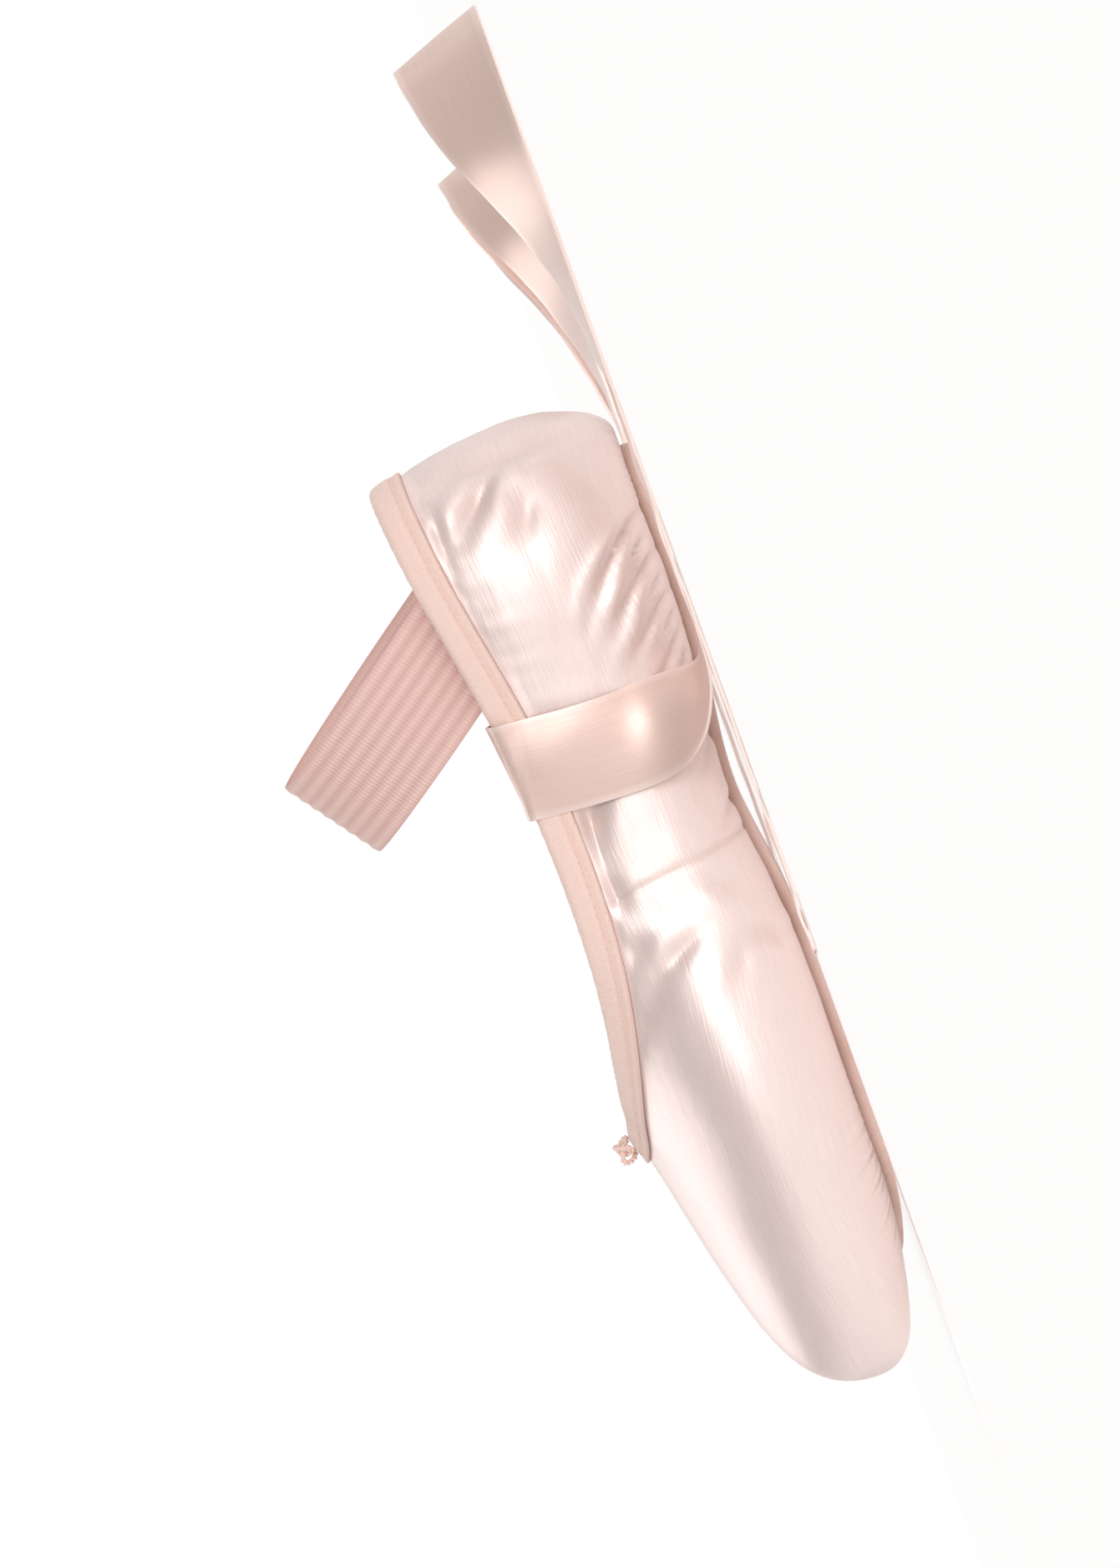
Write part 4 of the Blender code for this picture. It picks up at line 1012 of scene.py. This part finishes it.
def plate(name, rings, finish, shades):
    """A closed plate from rings that follow the same stations, with a shade for each ring."""
    spines = [on_middle(rings[0]), on_middle(rings[-1])]
    section = np.stack([spines[0], *rings, spines[1]], axis=1)
    count, ring = section.shape[:2]
    half = count // 2
    order = np.arange(count)
    mirror = (-order) % count
    kept = np.where(order <= half, order, mirror)
    points = in_frame(section)
    index = order[:, None] * ring + np.arange(ring)[None, :]
    index[:, 0], index[:, -1] = kept * ring, kept * ring + ring - 1
    i, k = np.arange(count)[:, None], np.arange(ring - 1)[None, :]
    j = (i + 1) % count
    faces = np.stack([index[i, k], index[j, k], index[j, k + 1], index[i, k + 1]], axis=-1).reshape(-1, 4)
    faces = [list(dict.fromkeys(face)) for face in faces.tolist()]
    faces = [face for face in faces if len(face) > 2]
    uv = points[:, :, :2].reshape(-1, 2)
    shade = np.tile([shades[0], *shades, shades[-1]], count)
    piece = add_piece(name, points.reshape(-1, 3), faces, finish, uv=uv, shade=shade)
    piece.data.set_sharp_from_angle(angle=math.radians(40))
    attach(piece, "root")
    return piece


def suede_material():
    """Split leather with a short nap: rough and pale, with blotches of grime, and painted shade that darkens
    its edge up towards the upper.
    """
    made, tree, shader = new_material(
        "split_suede_outsole",
        {"Roughness": 0.92, "Specular IOR Level": 0.2, "Sheen Weight": 0.3, "Sheen Roughness": 0.6},
    )
    place = add_node(tree, "ShaderNodeTexCoord")
    nap = add_noise(tree, place.outputs["Object"], 1400.0, 4.0)
    stain = add_noise(tree, place.outputs["Object"], 60.0, 5.0)
    long_rub = add_node(
        tree, "ShaderNodeMapping", {"Vector": place.outputs["Object"], "Scale": (60.0, 900.0, 200.0)}
    )
    rub = add_noise(tree, long_rub.outputs["Vector"], 1.0, 3.0)
    dirt = add_node(tree, "ShaderNodeMapRange", {"Value": stain, "From Min": 0.42, "From Max": 0.72})
    # Grime blotches plus the shade attribute, which is painted shade darkening the sole's edge and top face
    # where they meet the upper.
    edge = add_node(
        tree,
        "ShaderNodeMath",
        {0: dirt.outputs["Result"], 1: 0.5, 2: shade_of(tree)},
        operation="MULTIPLY_ADD",
        use_clamp=True,
    )
    colour = mixed_colour(tree, edge.outputs["Value"], from_hex("#EBD0C6"), from_hex("#C6A295"))
    both = add_node(tree, "ShaderNodeMath", {0: nap, 1: rub}, operation="ADD")
    finish_with(tree, shader, colour, both.outputs["Value"], 0.12 * MM, 0.8)
    return made


def make_outsole():
    """The outsole, flat under heel and ball and raised at the arch."""
    outline = closed_spline(LAST_KNOTS, LAST, even_stations(PLATE_STATIONS))[:, 3:5]
    under = drawn_in(outline, SOLE_CHAMFER)
    bevel = drawn_in(outline, SOLE_CHAMFER * 0.25)
    rings = [
        level(half_way(under), 0),
        level(under, 0),
        level(bevel, SOLE_CHAMFER * 0.3),
        level(outline, SOLE_CHAMFER),
        level(outline, SOLE_THICKNESS - SOLE_CHAMFER * 0.5),
        level(bevel, SOLE_THICKNESS),
        level(half_way(outline), SOLE_THICKNESS),
    ]
    # The shades by ring are painted shade: lightest under the tread, darker up the edge, darkest on the top
    # face in the groove under the upper.
    return plate("suede_outsole", rings, suede_material(), [0.0, 0.10, 0.20, 0.25, 0.45, 0.9, 0.9])


def make_insole():
    """The insole, which covers the floor inside and steps down between the turned-in seams."""
    stations = even_stations(PLATE_STATIONS)
    outer = last_ribs(stations, 6, 8, 2)
    inner = outer - outward_normals(outer) * box_wall(stations, outer, 2)[:, :, None]
    under = SOLE_THICKNESS + SOLE_GAP + QUARTER_WALL + GAP * 2
    ring = []
    for rib in inner:
        above = rib[:, 2] - sole_height(rib[:, 0] / SHOE_LENGTH) - under
        k = max(i for i in range(len(rib) - 4) if above[i] < -GAP)
        share = np.clip((-GAP - above[k]) / (above[k + 1] - above[k]), 0, 1)
        ring.append(rib[k] + share * (rib[k + 1] - rib[k]))
    ring = np.array(ring)
    ring[:, 0] = np.minimum(ring[:, 0], INSOLE_FRONT * SHOE_LENGTH)
    outline = drawn_in(ring, GAP * 2)
    step = drawn_in(outer[:, 0, :2], GAP * 2)
    rounded = drawn_in(outline, 0.5 * MM)
    rings = [
        level(half_way(step), SOLE_THICKNESS + SOLE_GAP),
        level(step, SOLE_THICKNESS + SOLE_GAP),
        level(step, under),
        level(outline, under),
        level(outline, under + INSOLE_THICKNESS * 0.7),
        level(rounded, under + INSOLE_THICKNESS),
        level(half_way(outline), under + INSOLE_THICKNESS + INSOLE_CROWN),
    ]
    canvas = weave_material(
        "cotton_canvas_sock",
        from_hex("#F3E6DB"),
        from_hex("#D9C5B6"),
        0.8 * MM,
        CLOTH_VALUES,
        0.15 * MM,
        # The darker colour is painted shade at the insole's edge.
        shade_and_soil_colour=from_hex("#BFA08D"),
    )
    # The shades by ring are painted shade: darker at the edge and down the step by the wall, clean in the
    # middle.
    return plate("canvas_insole", rings, canvas, [0.6, 0.6, 0.6, 0.6, 0.5, 0.25, 0.0])


outsole = make_outsole()
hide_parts("outsole")
insole = make_insole()
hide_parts("insole")
print("sole %.1f mm thick, %.0f mm wide" % (SOLE_THICKNESS / MM, SOLE_BALL_WIDTH / MM))

# %% [markdown]
# ## The ribbons
#
# Each ribbon is a narrow band of single-faced satin, 22 mm wide with a firmer selvedge on both edges. It
# is sewn inside its quarter, comes up over the binding and drops to the floor, where it lies in one loose
# bend. A ribbon bends easily across its face and hardly at all in its plane, so where it turns it tips on
# its edge. Its route is a smooth line through a table of places, with the direction of its width at each.

# %% The sizes and routes of the ribbons
RIBBON_WIDTH, RIBBON_LENGTH, RIBBON_THICKNESS = 22 * MM, 460 * MM, 0.5 * MM
RIBBON_SEAT, RIBBON_SLANT, RIBBON_TAB = 0.310, 6 * MM, 7 * MM
SETTLING, BEND_REACH, TWIST_REACH = (22 * MM, 30 * MM), 5 * MM, 7 * MM
RIBBON_ROWS, RIBBON_COLUMNS = 300, 13
SELVEDGE, SELVEDGE_STEP, SELVEDGE_SWELL = 1.4 * MM, 0.5 * MM, 0.05 * MM

# A ribbon ripples where it lies loose and is cupped where it hangs. Each ripple has a pitch and a slant over
# the width. A start or an end is two distances along the ribbon, with a soft step between them.
RIPPLES = ((43 * MM, 1.1), (27 * MM, -0.8), (13 * MM, 0.5))
RIPPLE_HEIGHT, RIPPLE_PATCH, LOOSE_START = 0.16 * MM, 115 * MM, (60 * MM, 120 * MM)
CUP_START, CUP_END = (18 * MM, 28 * MM), (50 * MM, 75 * MM)
CUP_DEPTH, CUP_WAVE, CUP_PITCH = 0.9 * MM, 0.35 * MM, 37 * MM

RouteRow = namedtuple("RouteRow", "back out up heading lean")
LEFT_ROUTE = (
    RouteRow(0.004, 0.152, 0.050, 30, 0),
    RouteRow(0.012, 0.168, 0.022, 62, 0),
    RouteRow(0.040, 0.184, 0.005, 84, 0),
    RouteRow(0.090, 0.196, 0.002, 90, 0),
    RouteRow(0.200, 0.206, 0.002, 92, 0),
    RouteRow(0.350, 0.200, 0.002, 86, 2),
    RouteRow(0.490, 0.196, 0.004, 92, 14),
    RouteRow(0.610, 0.215, 0.004, 70, 48),
    RouteRow(0.680, 0.285, 0.004, 25, 68),
    RouteRow(0.672, 0.370, 0.004, -32, 66),
    RouteRow(0.590, 0.440, 0.004, -72, 42),
    RouteRow(0.470, 0.465, 0.004, -90, 12),
    RouteRow(0.340, 0.455, 0.002, -96, 2),
    RouteRow(0.200, 0.440, 0.002, -94, 0),
    RouteRow(0.060, 0.432, 0.002, -92, 0),
    RouteRow(-0.080, 0.430, 0.002, -90, 0),
    RouteRow(-0.220, 0.432, 0.002, -90, 0),
)
RIGHT_ROUTE = (
    RouteRow(0.004, 0.152, 0.050, 30, 0),
    RouteRow(0.012, 0.168, 0.022, 62, 0),
    RouteRow(0.040, 0.184, 0.005, 84, 0),
    RouteRow(0.090, 0.198, 0.002, 94, 0),
    RouteRow(0.200, 0.222, 0.002, 98, 0),
    RouteRow(0.330, 0.246, 0.003, 98, 6),
    RouteRow(0.450, 0.275, 0.004, 84, 30),
    RouteRow(0.535, 0.340, 0.004, 44, 62),
    RouteRow(0.545, 0.430, 0.004, -8, 68),
    RouteRow(0.480, 0.505, 0.004, -56, 50),
    RouteRow(0.375, 0.545, 0.004, -80, 20),
    RouteRow(0.250, 0.555, 0.002, -90, 3),
    RouteRow(0.110, 0.550, 0.002, -94, 0),
    RouteRow(-0.030, 0.535, 0.002, -96, 0),
    RouteRow(-0.170, 0.520, 0.002, -96, 0),
    RouteRow(-0.300, 0.510, 0.002, -94, 0),
    RouteRow(-0.440, 0.506, 0.002, -91, 0),
)


# %% The ribbons' cloth
def ribbon_material():
    """Single-faced ribbon satin: long threads over the face and a firmer, paler selvedge at both edges."""
    made, tree, shader = new_material(
        "ribbon_satin",
        {
            "Roughness": 0.40,
            "Anisotropic": 0.5,
            "Metallic": 0.3,
            "Specular IOR Level": 0.9,
            "Sheen Weight": 0.1,
        },
    )
    thread = add_noise(tree, cloth_place(tree, (60.0, 2200.0, 1.0)), 1.0, 2.0)
    shade = shade_of(tree)
    tone = mixed_colour(tree, shade, from_hex("#EBCDC2"), from_hex("#F8E1D8"))
    faint = add_node(tree, "ShaderNodeMapRange", {"Value": thread, "From Min": 0.3, "To Max": 0.35})
    colour = mixed_colour(tree, faint.outputs["Result"], tone, from_hex("#D5B1A4"))
    height = add_node(tree, "ShaderNodeMath", {0: shade, 1: 1.5, 2: thread}, operation="MULTIPLY_ADD")
    finish_with(tree, shader, colour, height.outputs["Value"], 0.06 * MM, 0.35)
    shine_along_threads(tree, shader)
    return made


ribbon_satin = ribbon_material()


# %% The functions that lay a band along a line
def evenly(points, extra, length, steps):
    """A smooth line through points, with its extra columns, read at even distances over that length."""
    table = open_spline(np.hstack([points, extra]), np.linspace(0, 1, 40 * len(points)))
    run = run_along(table[:, :3])
    at = np.linspace(0, min(length, run[-1]), steps)
    read = np.column_stack([np.interp(at, run, table[:, k]) for k in range(table.shape[1])])
    return read[:, :3], read[:, 3:]


def strip(name, middle, across, width, thickness, finish, swell, shade, slant=0.0, lift=0.0):
    """A flat closed band along a middle line. Swell and shade go by column, and lift by row and column."""
    columns = len(shade)
    along = unit(np.gradient(middle, axis=0))
    across = unit(across - along * (across * along).sum(axis=1, keepdims=True))
    shares = np.linspace(-0.5, 0.5, columns)
    grid = middle[:, None] + across[:, None] * (shares * width)[None, :, None]
    grid[-1] += along[-1] * (shares * slant)[:, None]
    normal = np.cross(along, across)[:, None]
    grid = grid + normal * np.broadcast_to(lift, grid.shape[:2])[:, :, None]
    face = normal * (thickness / 2 + swell)[None, :, None]
    section = np.concatenate([grid + face, (grid - face)[:, ::-1]], axis=1)
    section[:, :, 2] -= np.minimum(section[:, :, 2].min(axis=1), 0)[:, None]
    rings, count = section.shape[:2]
    faces = band_faces(rings, count, joined=False).tolist()
    for end in (0, rings - 1):
        faces += [
            (end * count + k, end * count + k + 1, (end + 1) * count - k - 2, (end + 1) * count - k - 1)
            for k in range(columns - 1)
        ]
    run = run_along(middle)
    widths = np.concatenate([shares, shares[::-1]]) * width
    uv = np.stack(np.broadcast_arrays(run[:, None], widths[None, :]), axis=2).reshape(-1, 2)
    shades = np.tile(np.concatenate([shade, shade[::-1]]), rings)
    piece = add_piece(name, in_frame(section).reshape(-1, 3), faces, finish, uv=uv, shade=shades)
    piece.data.set_sharp_from_angle(angle=math.radians(60))
    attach(piece, "root")
    return piece


# %% The ribbons
def over_binding(along, side, inside_depth):
    """A band's line over the collar, from inside the quarter to the side's widest point, and its widths."""
    stations = station_at(along, side) + np.array([-1, 0, 1]) * RIBBON_WIDTH / 2 * side
    near = last_ribs(stations, 5, 8, 2)
    round_it = unit(near[2] - near[0])
    middle = near[1]
    up_it = unit(np.gradient(middle, axis=0))
    normal = unit(np.cross(up_it, round_it)) * side
    clear = GAP * 4 + BINDING_PUFF + RIBBON_THICKNESS / 2
    inner = middle - normal * (QUARTER_WALL + clear)
    outside = middle + normal * clear
    crown = middle[-1] - normal[-1] * QUARTER_WALL / 2 + up_it[-1] * (GAP * 5 + BINDING_PUFF * 1.5)
    shoulder = up_it[-1] * BINDING_PUFF * 1.3
    first = len(middle) - 3 - inside_depth
    top = np.stack([inner[-1] + shoulder, crown, outside[-1] + shoulder])
    line = np.vstack([inner[first:], top, outside[:5:-1]])
    width = np.vstack([round_it[first:], round_it[[-1] * len(top)], round_it[:5:-1]])
    return line, width


def smoothed(values, run, reach):
    """Values along a line, each blended with its neighbours within about that reach."""
    weight = np.exp(-(((run[:, None] - run[None, :]) / reach) ** 2))
    return weight @ values / weight.sum(axis=1, keepdims=True)


def sewn_box(middle, across, width, start, end, proud):
    """The line of a box of stitches on a band's face, between two distances along it."""
    along = unit(np.gradient(middle, axis=0))
    across = unit(across - along * (across * along).sum(axis=1, keepdims=True))
    normal = np.cross(along, across)
    run = run_along(middle)
    half = width / 2 - 1.5 * MM
    corners = [(start, -half), (end, -half), (end, half), (start, half), (start, -half)]
    band = np.hstack([middle, across, normal])
    points = []
    for (run_1, out_1), (run_2, out_2) in zip(corners, corners[1:]):
        for share in np.linspace(0, 1, 12):
            at = run_1 + (run_2 - run_1) * share
            read = np.array([np.interp(at, run, band[:, k]) for k in range(9)])
            points.append(read[:3] + read[3:6] * (out_1 + (out_2 - out_1) * share) + read[6:] * proud)
    return in_frame(points)


def ribbon_relief(run, shares, side, seed):
    """How far a ribbon's face lies off its middle surface, by row and by column."""
    run = run[:, None]
    source = np.random.default_rng(seed)
    ripple = sum(
        np.sin(2 * math.pi * run / pitch + source.uniform(0, 6.3) + shares * slant)
        for pitch, slant in RIPPLES
    )
    ripple = ripple * (0.3 + np.sin(math.pi * run / RIPPLE_PATCH + source.uniform(0, 6.3)) ** 2)
    loose = smooth_step(run, *LOOSE_START) * RIPPLE_HEIGHT
    hanging = smooth_step(run, *CUP_START) * (1 - smooth_step(run, *CUP_END))
    cup = shares**2 * CUP_DEPTH + np.sin(2 * math.pi * (run / CUP_PITCH + shares * 0.3)) * CUP_WAVE
    return side * (ripple * loose + cup * hanging)


def make_ribbon(name, side, route, seed):
    """A satin ribbon, sewn inside its quarter, folded over the binding and laid on the floor."""
    over, width = over_binding(RIBBON_SEAT, side, 2)
    seat = np.array([RIBBON_SEAT * SHOE_LENGTH, 0.0, 0.0])
    rows = np.array(route, float)
    free = seat + rows[:, :3] * np.array([-1.0, side, 1.0]) * SHOE_LENGTH
    heading, lean = np.radians(rows[:, 3]), np.radians(rows[:, 4])
    turned = np.column_stack(
        [np.cos(heading) * np.cos(lean), side * np.sin(heading) * np.cos(lean), np.sin(lean)]
    )
    middle, across = evenly(
        np.vstack([over, free]), np.vstack([width, turned]), RIBBON_LENGTH, RIBBON_ROWS
    )
    shares = np.linspace(-1, 1, RIBBON_COLUMNS)
    run = np.linspace(0, RIBBON_LENGTH, RIBBON_ROWS)
    settled = smooth_step(run, *SETTLING)[:, None]
    middle = middle + (smoothed(middle, run, BEND_REACH) - middle) * settled
    across = across + (smoothed(across, run, TWIST_REACH) - across) * settled
    edge = np.clip((SELVEDGE - (1 - np.abs(shares)) * RIBBON_WIDTH / 2) / SELVEDGE_STEP, 0, 1)
    ribbon = strip(
        name,
        middle,
        across,
        RIBBON_WIDTH,
        RIBBON_THICKNESS,
        ribbon_satin,
        swell=edge * SELVEDGE_SWELL,
        shade=edge,
        slant=RIBBON_SLANT,
        lift=ribbon_relief(run, shares, side, seed),
    )
    print("%s: %.0f mm long" % (name, run_along(middle)[-1] / MM))
    return ribbon, sewn_box(middle, across, RIBBON_WIDTH, 1.5 * MM, RIBBON_TAB, -side * 0.4 * MM)


ribbon_left, left_box = make_ribbon("left_ribbon", 1, LEFT_ROUTE, 8)
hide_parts("ribbon_left")
ribbon_right, right_box = make_ribbon("right_ribbon", -1, RIGHT_ROUTE, 9)
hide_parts("ribbon_right")

# %% [markdown]
# ## The elastic
#
# A band of ribbed elastic crosses above the collar and keeps the shoe on. Rubber cords run along it under
# a knitted cover, which shows as eight ribs. It is sewn inside both quarters behind the ribbons, and wear
# has left it standing in an arch.

# %% The elastic
ELASTIC_WIDTH, ELASTIC_THICKNESS, ELASTIC_SEAT = 25 * MM, 1.0 * MM, 0.180
ELASTIC_SEWN, ELASTIC_RISE, ELASTIC_SPREAD, ELASTIC_TILT = 13 * MM, 48 * MM, 4 * MM, math.radians(36)
ELASTIC_RIBS, ELASTIC_ROWS, RIB_HEIGHT, KNIT_COURSE = 8, 150, 0.30 * MM, 0.9 * MM


def elastic_material():
    """Knitted elastic: matt, with fine courses of stitches across the ribs."""
    made, tree, shader = new_material(
        "ribbed_knit_elastic", {"Roughness": 0.75, "Sheen Weight": 0.2, "Specular IOR Level": 0.3}
    )
    course = add_node(
        tree,
        "ShaderNodeTexWave",
        {"Vector": cloth_place(tree), "Scale": math.pi / 10 / KNIT_COURSE, "Distortion": 0.8},
        bands_direction="X",
    )
    # The rib valleys are painted darker than the crests, as painted shade between the ribs.
    tone = mixed_colour(tree, shade_of(tree), from_hex("#D9B0A7"), from_hex("#EBC9C1"))
    faint = add_node(tree, "ShaderNodeMapRange", {"Value": course.outputs["Fac"], "To Max": 0.22})
    colour = mixed_colour(tree, faint.outputs["Result"], tone, from_hex("#C99C91"))
    finish_with(tree, shader, colour, course.outputs["Fac"], 0.12 * MM, 0.6)
    return made


def make_elastic():
    """The elastic, sewn inside both quarters and standing in an arch."""
    behind = ELASTIC_WIDTH / 2 * math.cos(ELASTIC_TILT) + ELASTIC_SEWN * 0.6 * math.sin(ELASTIC_TILT)
    places = [station_at(share, 1) for share in (ELASTIC_SEAT, ELASTIC_SEAT - behind / SHOE_LENGTH)]
    collar, narrowest = closed_spline(LAST_KNOTS, LAST, np.array(places))[:, 5:8]
    half = narrowest[1] - (QUARTER_WALL + BINDING_PUFF + GAP * 2 + ELASTIC_THICKNESS / 2)
    rise = np.array([math.sin(ELASTIC_TILT), 0.0, math.cos(ELASTIC_TILT)])
    outward = np.array([0.0, 1.0, 0.0])
    handles = [
        outward * half,
        outward * (half + ELASTIC_SPREAD) + rise * ELASTIC_RISE * 0.40,
        outward * half * 0.85 + rise * ELASTIC_RISE,
        rise * ELASTIC_RISE,
    ]
    arch = bezier(*(h[None] for h in handles), np.linspace(0, 1, 60))[0]
    sewn = np.array([outward * half - rise * ELASTIC_SEWN * share for share in np.linspace(1, 0, 9)[:-1]])
    left = collar * np.array([1.0, 0.0, 1.0]) + np.vstack([sewn, arch])
    line = np.vstack([left, left[-2::-1] * np.array([1.0, -1.0, 1.0])])
    run = run_along(line)
    at = np.linspace(0, run[-1], ELASTIC_ROWS)
    middle = np.column_stack([np.interp(at, run, line[:, k]) for k in range(3)])
    across = np.tile([math.cos(ELASTIC_TILT), 0.0, -math.sin(ELASTIC_TILT)], (len(middle), 1))
    columns = ELASTIC_RIBS * 4 + 1
    crest = (1 - np.cos(np.linspace(0, 2 * math.pi * ELASTIC_RIBS, columns))) / 2
    elastic = strip(
        "ribbed_elastic",
        middle,
        across,
        ELASTIC_WIDTH,
        ELASTIC_THICKNESS,
        elastic_material(),
        swell=(crest - 1.1) * RIB_HEIGHT,
        shade=crest,
    )
    proud = -(ELASTIC_THICKNESS / 2 + 0.1 * MM)
    ends = (1.5 * MM, ELASTIC_SEWN * 0.8), (run[-1] - 1.5 * MM, run[-1] - ELASTIC_SEWN * 0.8)
    return elastic, [sewn_box(middle, across, ELASTIC_WIDTH, *end, proud) for end in ends]


elastic, elastic_boxes = make_elastic()
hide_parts("elastic_strap")

# %% [markdown]
# ## The drawstring's knot
#
# The drawstring runs round inside the binding and comes out at the throat, where its ends are knotted and
# trimmed. The knot is a trefoil, the simplest closed knot, drawn small and flat on the binding. Two
# strands turn about each other along it, because the string is a twisted cord.

# %% The drawstring's knot
STRING_DIAMETER, STRAND_TWISTS = 1.0 * MM, 13
STRAND_RADIUS, STRAND_ORBIT = STRING_DIAMETER * 0.38, STRING_DIAMETER * 0.27
KNOT_WIDE, KNOT_DEEP, KNOT_HIGH = 10.0 * MM, 6.6 * MM, 4.0 * MM
KNOT_STEPS, STRAND_SIDES = 360, 8


def make_knot():
    """The drawstring's knot at the throat, as two strands twisted about a trefoil."""
    rib = last_ribs(np.array([TIP]), 5, 6, 2)[0]
    up_it = unit(rib[-1] - rib[-2])
    over = np.array([up_it[2], 0.0, -up_it[0]])
    turns = np.linspace(0, 2 * math.pi, KNOT_STEPS, endpoint=False)
    centre = rib[-1] - up_it * KNOT_DEEP / 4 + over * (BINDING_PUFF + GAP * 2 + KNOT_HIGH / 2)
    wide, deep, high = ((size - STRING_DIAMETER) / 2 for size in (KNOT_WIDE, KNOT_DEEP, KNOT_HIGH))
    line = (
        centre
        + np.outer((np.sin(turns) + 2 * np.sin(2 * turns)) / 3 * wide, [0.0, 1.0, 0.0])
        + np.outer((np.cos(turns) - 2 * np.cos(2 * turns)) / 3 * deep, up_it)
        + np.outer(-np.sin(3 * turns) * high, over)
    )
    ahead = unit(np.roll(line, -1, axis=0) - np.roll(line, 1, axis=0))
    first = unit(np.cross(ahead, over))
    second = np.cross(ahead, first)
    sides = np.linspace(0, 2 * math.pi, STRAND_SIDES, endpoint=False)
    points, faces = [], []
    for start in (0, math.pi):
        turn = turns * STRAND_TWISTS + start
        away = first * np.cos(turn)[:, None] + second * np.sin(turn)[:, None]
        middle = line + away * STRAND_ORBIT
        ring = first[:, None] * np.cos(sides)[:, None] + second[:, None] * np.sin(sides)[:, None]
        faces.append(band_faces(KNOT_STEPS, STRAND_SIDES) + len(points) * KNOT_STEPS * STRAND_SIDES)
        points.append((middle[:, None] + ring * STRAND_RADIUS).reshape(-1, 3))
    cotton, _, _ = new_material(
        "twisted_cotton_string", {"Base Color": from_hex("#F5D6CA"), "Roughness": 0.85, "Sheen Weight": 0.3}
    )
    knot = add_piece("drawstring", in_frame(np.vstack(points)), np.vstack(faces), cotton)
    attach(knot, "root")
    return knot


knot = make_knot()
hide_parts("drawstring_knot")

# %% [markdown]
# ## Sewing on the ribbons and the elastic
#
# These are sewn on by hand, inside the quarter, with a box of small stitches that catches the lining
# alone. They are set with the same tree as the binding's stitches, a little longer and further apart.

# %% The hand sewing
ribbon_sewing = sew("ribbon_sewing", [left_box, right_box], *RIBBON_STITCH, thread)
elastic_sewing = sew("elastic_sewing", elastic_boxes, *ELASTIC_STITCH, thread)

# %% The floor, and what rests on it
FLOOR_HALF, FLOOR_DROP, FLOOR_GLOW = 55.0, 0.03 * MM, 0.27


def add_floor():
    """A pale, very large studio floor, a hair below the sole so that the two faces don't fight."""
    pale, _, _ = new_material(
        "pale_studio_paper",
        {
            "Base Color": from_hex("#FBFAF9"),
            "Roughness": 1.0,
            "Specular IOR Level": 0.1,
            "Emission Color": from_hex("#FFFFFF"),
            "Emission Strength": FLOOR_GLOW,
        },
    )
    mesh = bpy.data.meshes.new("studio_floor")
    corners = [(FLOOR_HALF * x, FLOOR_HALF * y, -FLOOR_DROP) for x, y in ((-1, -1), (1, -1), (1, 1), (-1, 1))]
    mesh.from_pydata(corners, [], [(0, 1, 2, 3)])
    mesh.materials.append(pale)
    floor = bpy.data.objects.new("studio_floor", mesh)
    bpy.context.scene.collection.objects.link(floor)
    return floor


floor = add_floor()

# %% [markdown]
# ## Light
#
# The photo has one broad soft light from the camera's side, and white all round. Here a wide sun low
# beside the camera, a little towards the heel, stands for that light, because it falls as evenly on the
# far floor as on the shoe. The studio's walls are white at the horizon and darker overhead, so the satin
# has something bright and something dim to mirror. A second sun, high on the far side, keeps the other
# quarter and the throat from going flat. The floor glows a little, so that it is as white as the photo's
# ground.

# %% The light
def add_soft_sun(name, direction, strength, spread, colour):
    """A sun in that direction from the shoe, as wide as a softbox of that many degrees."""
    data = bpy.data.lights.new(name, "SUN")
    data.energy = strength
    data.angle = math.radians(spread)
    data.color = from_hex(colour)[:3]
    light = bpy.data.objects.new(name, data)
    light.rotation_euler = (-Vector(direction)).to_track_quat("-Z", "Y").to_euler()
    bpy.context.scene.collection.objects.link(light)
    return light


def white_studio():
    """A world that is white at the horizon and darker overhead."""
    world = bpy.data.worlds.new("white_studio")
    world.use_nodes = True
    tree = world.node_tree
    sky = tree.nodes["Background"]
    sky.inputs["Color"].default_value = from_hex("#FFFFFF")
    way = add_node(tree, "ShaderNodeTexCoord")
    split = add_node(tree, "ShaderNodeSeparateXYZ", {"Vector": way.outputs["Generated"]})
    walls = add_node(
        tree,
        "ShaderNodeMapRange",
        {"Value": split.outputs["Z"], "From Min": 0.20, "From Max": 0.60, "To Min": 1.0, "To Max": 0.25},
        interpolation_type="SMOOTHSTEP",
    )
    tree.links.new(walls.outputs["Result"], sky.inputs["Strength"])
    return world


bpy.context.scene.world = white_studio()
bpy.context.scene.view_settings.view_transform = "Standard"
add_soft_sun("soft_key", (-0.34, 0.90, 0.26), 1.12, 28, "#FFFFFF")
add_soft_sun("soft_fill", (0.30, -0.50, 0.80), 1.05, 46, "#FFFFFF")
